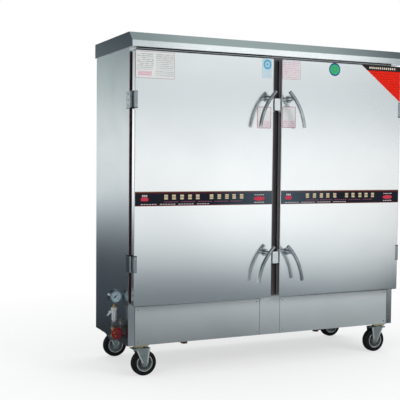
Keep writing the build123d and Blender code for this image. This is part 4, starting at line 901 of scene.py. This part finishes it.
rim_half_width = 0.017
web_half_width = 0.0025
fork_half_width = 0.0235
trail = 0.020
rib_width = 0.0055
rib_rise = 0.0012
for end in ("front", "back"):
    for side, inward in (("left", 1), ("right", -1)):
        finish(fork_zinc, f"castor_fork_{end}_{side}")
        finish(rim_zinc, f"castor_rim_{end}_{side}")
        finish(tyre_rubber, f"castor_tyre_{end}_{side}")
        rim_low, rim_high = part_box(f"castor_rim_{end}_{side}")
        axle = (rim_low + rim_high) / 2
        rim_radius = (rim_high.z - rim_low.z) / 2
        rings = bmesh.new()
        for out_side in (-1, 1):
            for inner, outer, seat, rise, ink in (
                (0.90, 1.0, rim_half_width, 0.0008, 0),
                (0.38, 0.86, web_half_width, 0.0005, 1),
            ):
                small, large = rim_radius * inner, rim_radius * outer
                crown = (large - small) * 0.2
                turned_ring(
                    rings, (axle.x, axle.y + out_side * seat, axle.z), out_side,
                    ((small, -0.0004), (small, rise * 0.5), (small + crown, rise), (large - crown, rise),
                     (large, rise * 0.5), (large, -0.0004)),
                    ink,
                )
        piece(f"rim_rings_{end}_{side}", rings, [bead_zinc, dish_zinc], f"castor_wheel_{end}_{side}")
        # Painted highlight: the ribs are in the pale bead zinc, and the fork zinc is set darker beside them
        # as painted shade.
        crown_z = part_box(f"castor_fork_{end}_{side}")[1].z - 0.0047
        kingpin = axle.x - inward * trail
        ribs = bmesh.new()
        for foot, head, head_z in (
            (axle.x - inward * 0.0105, kingpin - inward * 0.0175, crown_z - 0.0075),
            (axle.x + inward * 0.0105, kingpin + inward * 0.0385, crown_z - 0.0025),
        ):
            half = rib_width / 2
            corners = [(foot - half, axle.z + 0.002), (foot + half, axle.z + 0.002), (head + half, head_z),
                       (head - half, head_z)]
            for out_side in (-1, 1):
                wall = axle.y + out_side * fork_half_width
                plate(ribs, corners, wall - out_side * 0.0002, wall + out_side * rib_rise, 0)
        piece(f"fork_ribs_{end}_{side}", ribs, [bead_zinc], f"castor_fork_{end}_{side}", False)

# ---- Studio
# A plain pale floor that fades into a white surround, with three soft lamps. Steel mirrors a
# bright surround at eye level that darkens overhead, over a floor that lies in shade nearby and
# further out behind than in front. Tall dark screens draw the edges of bright parts.
floor_bm = bmesh.new()
bmesh.ops.create_grid(floor_bm, x_segments=1, y_segments=1, size=30.0)
bmesh.ops.translate(floor_bm, verts=floor_bm.verts, vec=(0, 0, -0.0002))
floor_mesh = bpy.data.meshes.new("studio_floor")
floor_bm.to_mesh(floor_mesh)
floor_bm.free()
placed("studio_floor", floor_mesh)
floor_paint = bpy.data.materials.new("Studio Floor")
floor_paint.use_nodes = True
floor_tree = floor_paint.node_tree
floor_tree.nodes.clear()
floor_place = node_in(floor_tree, "TexCoord").outputs["Object"]
floor_reach = node_in(floor_tree, "VectorMath", {0: floor_place}, operation="LENGTH").outputs["Value"]
far_share = spread(floor_tree, floor_reach, 0.62, 1.0, 0.9, 2.2)
lit_floor = node_in(floor_tree, "BsdfDiffuse", {"Color": (0.98, 0.98, 0.98, 1)}).outputs[0]
white_glow = node_in(floor_tree, "Emission", {"Color": (1, 1, 1, 1), "Strength": 1.0}).outputs[0]
seen_floor = node_in(floor_tree, "MixShader", {0: far_share, 1: lit_floor, 2: white_glow}).outputs[0]
front_range, back_range = 12.0, 30.0
front_stops = (
    (0.9 / front_range, (0.30, 0.34, 0.36)),
    (1.5 / front_range, (0.18, 0.21, 0.23)),
    (2.3 / front_range, (0.145, 0.175, 0.19)),
    (2.8 / front_range, (0.19, 0.225, 0.245)),
    (3.4 / front_range, (0.285, 0.335, 0.36)),
    (4.0 / front_range, (0.42, 0.47, 0.495)),
    (4.7 / front_range, (0.57, 0.62, 0.645)),
    (5.7 / front_range, (0.71, 0.77, 0.79)),
    (7.0 / front_range, (0.83, 0.88, 0.89)),
    (9.0 / front_range, (0.97, 1.0, 1.0)),
    (1.0, (1.04, 1.06, 1.06)),
)
back_stops = (
    (0.0, (0.050, 0.062, 0.075)),
    (3.0 / back_range, (0.062, 0.078, 0.094)),
    (4.8 / back_range, (0.078, 0.098, 0.114)),
    (8.0 / back_range, (0.27, 0.32, 0.345)),
    (14.0 / back_range, (0.80, 0.88, 0.91)),
    (22.0 / back_range, (1.08, 1.14, 1.16)),
    (1.0, (1.16, 1.20, 1.21)),
)
wide_floor = node_in(floor_tree, "VectorMath", {0: floor_place, 1: (1.6, 1.0, 1.0)}, operation="MULTIPLY")
wide_reach = node_in(floor_tree, "VectorMath", {0: wide_floor.outputs[0]}, operation="LENGTH")
front_share = spread(floor_tree, wide_reach.outputs["Value"], 0.0, 1.0, 0.0, front_range)
back_share = spread(floor_tree, floor_reach, 0.0, 1.0, 0.0, back_range)
behind = spread(floor_tree, object_axis(floor_tree, "Y"), 0.0, 1.0, -0.6, 0.6)
front_shades = colour_steps(floor_tree, front_share, front_stops)
back_shades = colour_steps(floor_tree, back_share, back_stops)
mirror_shades = blend_colours(floor_tree, behind, front_shades, back_shades)


def shown_by_ray(tree, plain, mirrored, seen, out):
    """One shader for the camera, one for mirrors and glass, and one for all other light."""
    rays = node_in(tree, "LightPath").outputs
    either = node_in(
        tree, "Math", {0: rays["Is Glossy Ray"], 1: rays["Is Transmission Ray"]}, operation="MAXIMUM"
    )
    unseen = node_in(tree, "MixShader", {0: either.outputs[0], 1: plain, 2: mirrored})
    shown = node_in(tree, "MixShader", {0: rays["Is Camera Ray"], 1: unseen.outputs[0], 2: seen})
    node_in(tree, out, {"Surface": shown.outputs[0]})


def between_screens(tree, place, shades, middle):
    """Darkens what steel mirrors from tall screens straight ahead and far to each side."""
    way = node_in(tree, "VectorMath", {0: place}, operation="NORMALIZE")
    across = node_in(tree, "SeparateXYZ", {0: way.outputs[0]}).outputs["X"]
    sideways = node_in(tree, "Math", {0: across}, operation="ABSOLUTE")
    open_share = colour_steps(
        tree, sideways.outputs[0],
        ((0.0, middle), (0.17, middle), (0.24, 0.9), (0.37, 0.93), (0.43, 1.0), (0.54, 1.0), (0.60, 0.9),
         (0.66, 0.84), (0.72, 0.05), (0.94, 0.0), (0.99, 1.0)),
    )
    return blend_colours(tree, open_share, (0.035, 0.042, 0.048), shades)


screened_floor = between_screens(floor_tree, floor_place, mirror_shades, 0.93)
mirrored_floor = node_in(floor_tree, "Emission", {"Color": screened_floor, "Strength": 1.05}).outputs[0]
plain_floor = node_in(floor_tree, "BsdfDiffuse", {"Color": (0.55, 0.55, 0.55, 1)}).outputs[0]
shown_by_ray(floor_tree, plain_floor, mirrored_floor, seen_floor, "OutputMaterial")
floor_mesh.materials.append(floor_paint)

surround = bpy.data.worlds.new("Studio Surround")
bpy.context.scene.world = surround
surround.use_nodes = True
air = surround.node_tree
air.nodes.clear()
air_way = node_in(air, "TexCoord").outputs["Generated"]
air_axes = node_in(air, "SeparateXYZ", {0: air_way}).outputs
front_sky = (
    (0.0, (1.04, 1.06, 1.06)),
    (0.03, (0.94, 0.975, 0.98)),
    (0.055, (0.71, 0.76, 0.785)),
    (0.078, (0.46, 0.515, 0.55)),
    (0.100, (0.46, 0.515, 0.545)),
    (0.112, (0.74, 0.79, 0.80)),
    (0.119, (1.34, 1.38, 1.37)),
    (0.135, (1.34, 1.38, 1.37)),
    (0.144, (0.80, 0.85, 0.86)),
    (0.19, (0.30, 0.34, 0.35)),
    (0.26, (0.15, 0.18, 0.19)),
    (0.74, (0.15, 0.18, 0.19)),
    (0.85, (0.33, 0.39, 0.39)),
    (1.0, (0.33, 0.40, 0.39)),
)
back_sky = (
    (0.0, (1.20, 1.24, 1.24)),
    (0.035, (1.22, 1.27, 1.27)),
    (0.05, (1.00, 1.06, 1.06)),
    (0.07, (0.80, 0.87, 0.87)),
    (0.095, (0.66, 0.74, 0.745)),
    (0.125, (0.47, 0.545, 0.55)),
    (0.16, (0.22, 0.27, 0.29)),
    (0.26, (0.15, 0.18, 0.19)),
    (0.74, (0.15, 0.18, 0.19)),
    (0.85, (0.30, 0.36, 0.36)),
)
sky_behind = spread(air, air_axes["Y"], 0.0, 1.0, -0.25, 0.25)
front_tones, back_tones = (colour_steps(air, air_axes["Z"], sky) for sky in (front_sky, back_sky))
sky_shades = blend_colours(air, sky_behind, front_tones, back_tones)
screened_air = between_screens(air, air_way, sky_shades, 0.0)
mirrored_air = node_in(air, "Background", {"Color": screened_air, "Strength": 1.1}).outputs[0]
plain_air = node_in(air, "Background", {"Color": (0.96, 0.98, 1.0, 1), "Strength": 0.55}).outputs[0]
white_air = node_in(air, "Background", {"Color": (1, 1, 1, 1), "Strength": 1.0}).outputs[0]
shown_by_ray(air, plain_air, mirrored_air, white_air, "OutputWorld")

aim = Vector((0, 0, 0.75))
for name, place, size, power in (
    ("front_lamp", (2.6, -4.4, 3.0), 2.4, 95.0),
    ("left_lamp", (-4.2, -2.2, 2.2), 2.2, 45.0),
    ("top_lamp", (0.2, 0.4, 4.6), 3.2, 70.0),
):
    light = bpy.data.lights.new(name, "AREA")
    light.size = size
    light.energy = power
    lamp = placed(name, light)
    lamp.location = place
    lamp.visible_glossy = False
    lamp.rotation_mode = "QUATERNION"
    lamp.rotation_quaternion = (aim - Vector(place)).to_track_quat("-Z", "Y")

# ---- Camera
# It stands to the left of the cabinet, a little above the middle of the doors, and looks slightly
# down, as the photograph was taken. The lens is given in pixels of a 400 pixel picture.
camera_data = bpy.data.cameras.new("camera")
camera_data.sensor_width = 36.0
lens_pixels, picture_pixels = 831.6, 400.0
camera_data.lens = lens_pixels / picture_pixels * camera_data.sensor_width
camera_data.clip_end = 100.0
camera = placed("camera", camera_data)
camera_yaw, camera_pitch, camera_roll = radians(24.727), radians(-2.772), radians(0.542)
ahead = Vector((sin(camera_yaw) * cos(camera_pitch), cos(camera_yaw) * cos(camera_pitch), sin(camera_pitch)))
rightward = Vector((cos(camera_yaw), -sin(camera_yaw), 0))
upward = rightward.cross(ahead)
tilted_right = rightward * cos(camera_roll) + upward * sin(camera_roll)
tilted_up = upward * cos(camera_roll) - rightward * sin(camera_roll)
camera_spot = (-1.9128, -3.5922, 0.9509)
camera.matrix_world = Matrix.Translation(camera_spot) @ Matrix(
    (tilted_right, tilted_up, -ahead)
).transposed().to_4x4()
bpy.context.scene.camera = camera
bpy.context.scene.view_settings.view_transform = "Standard"
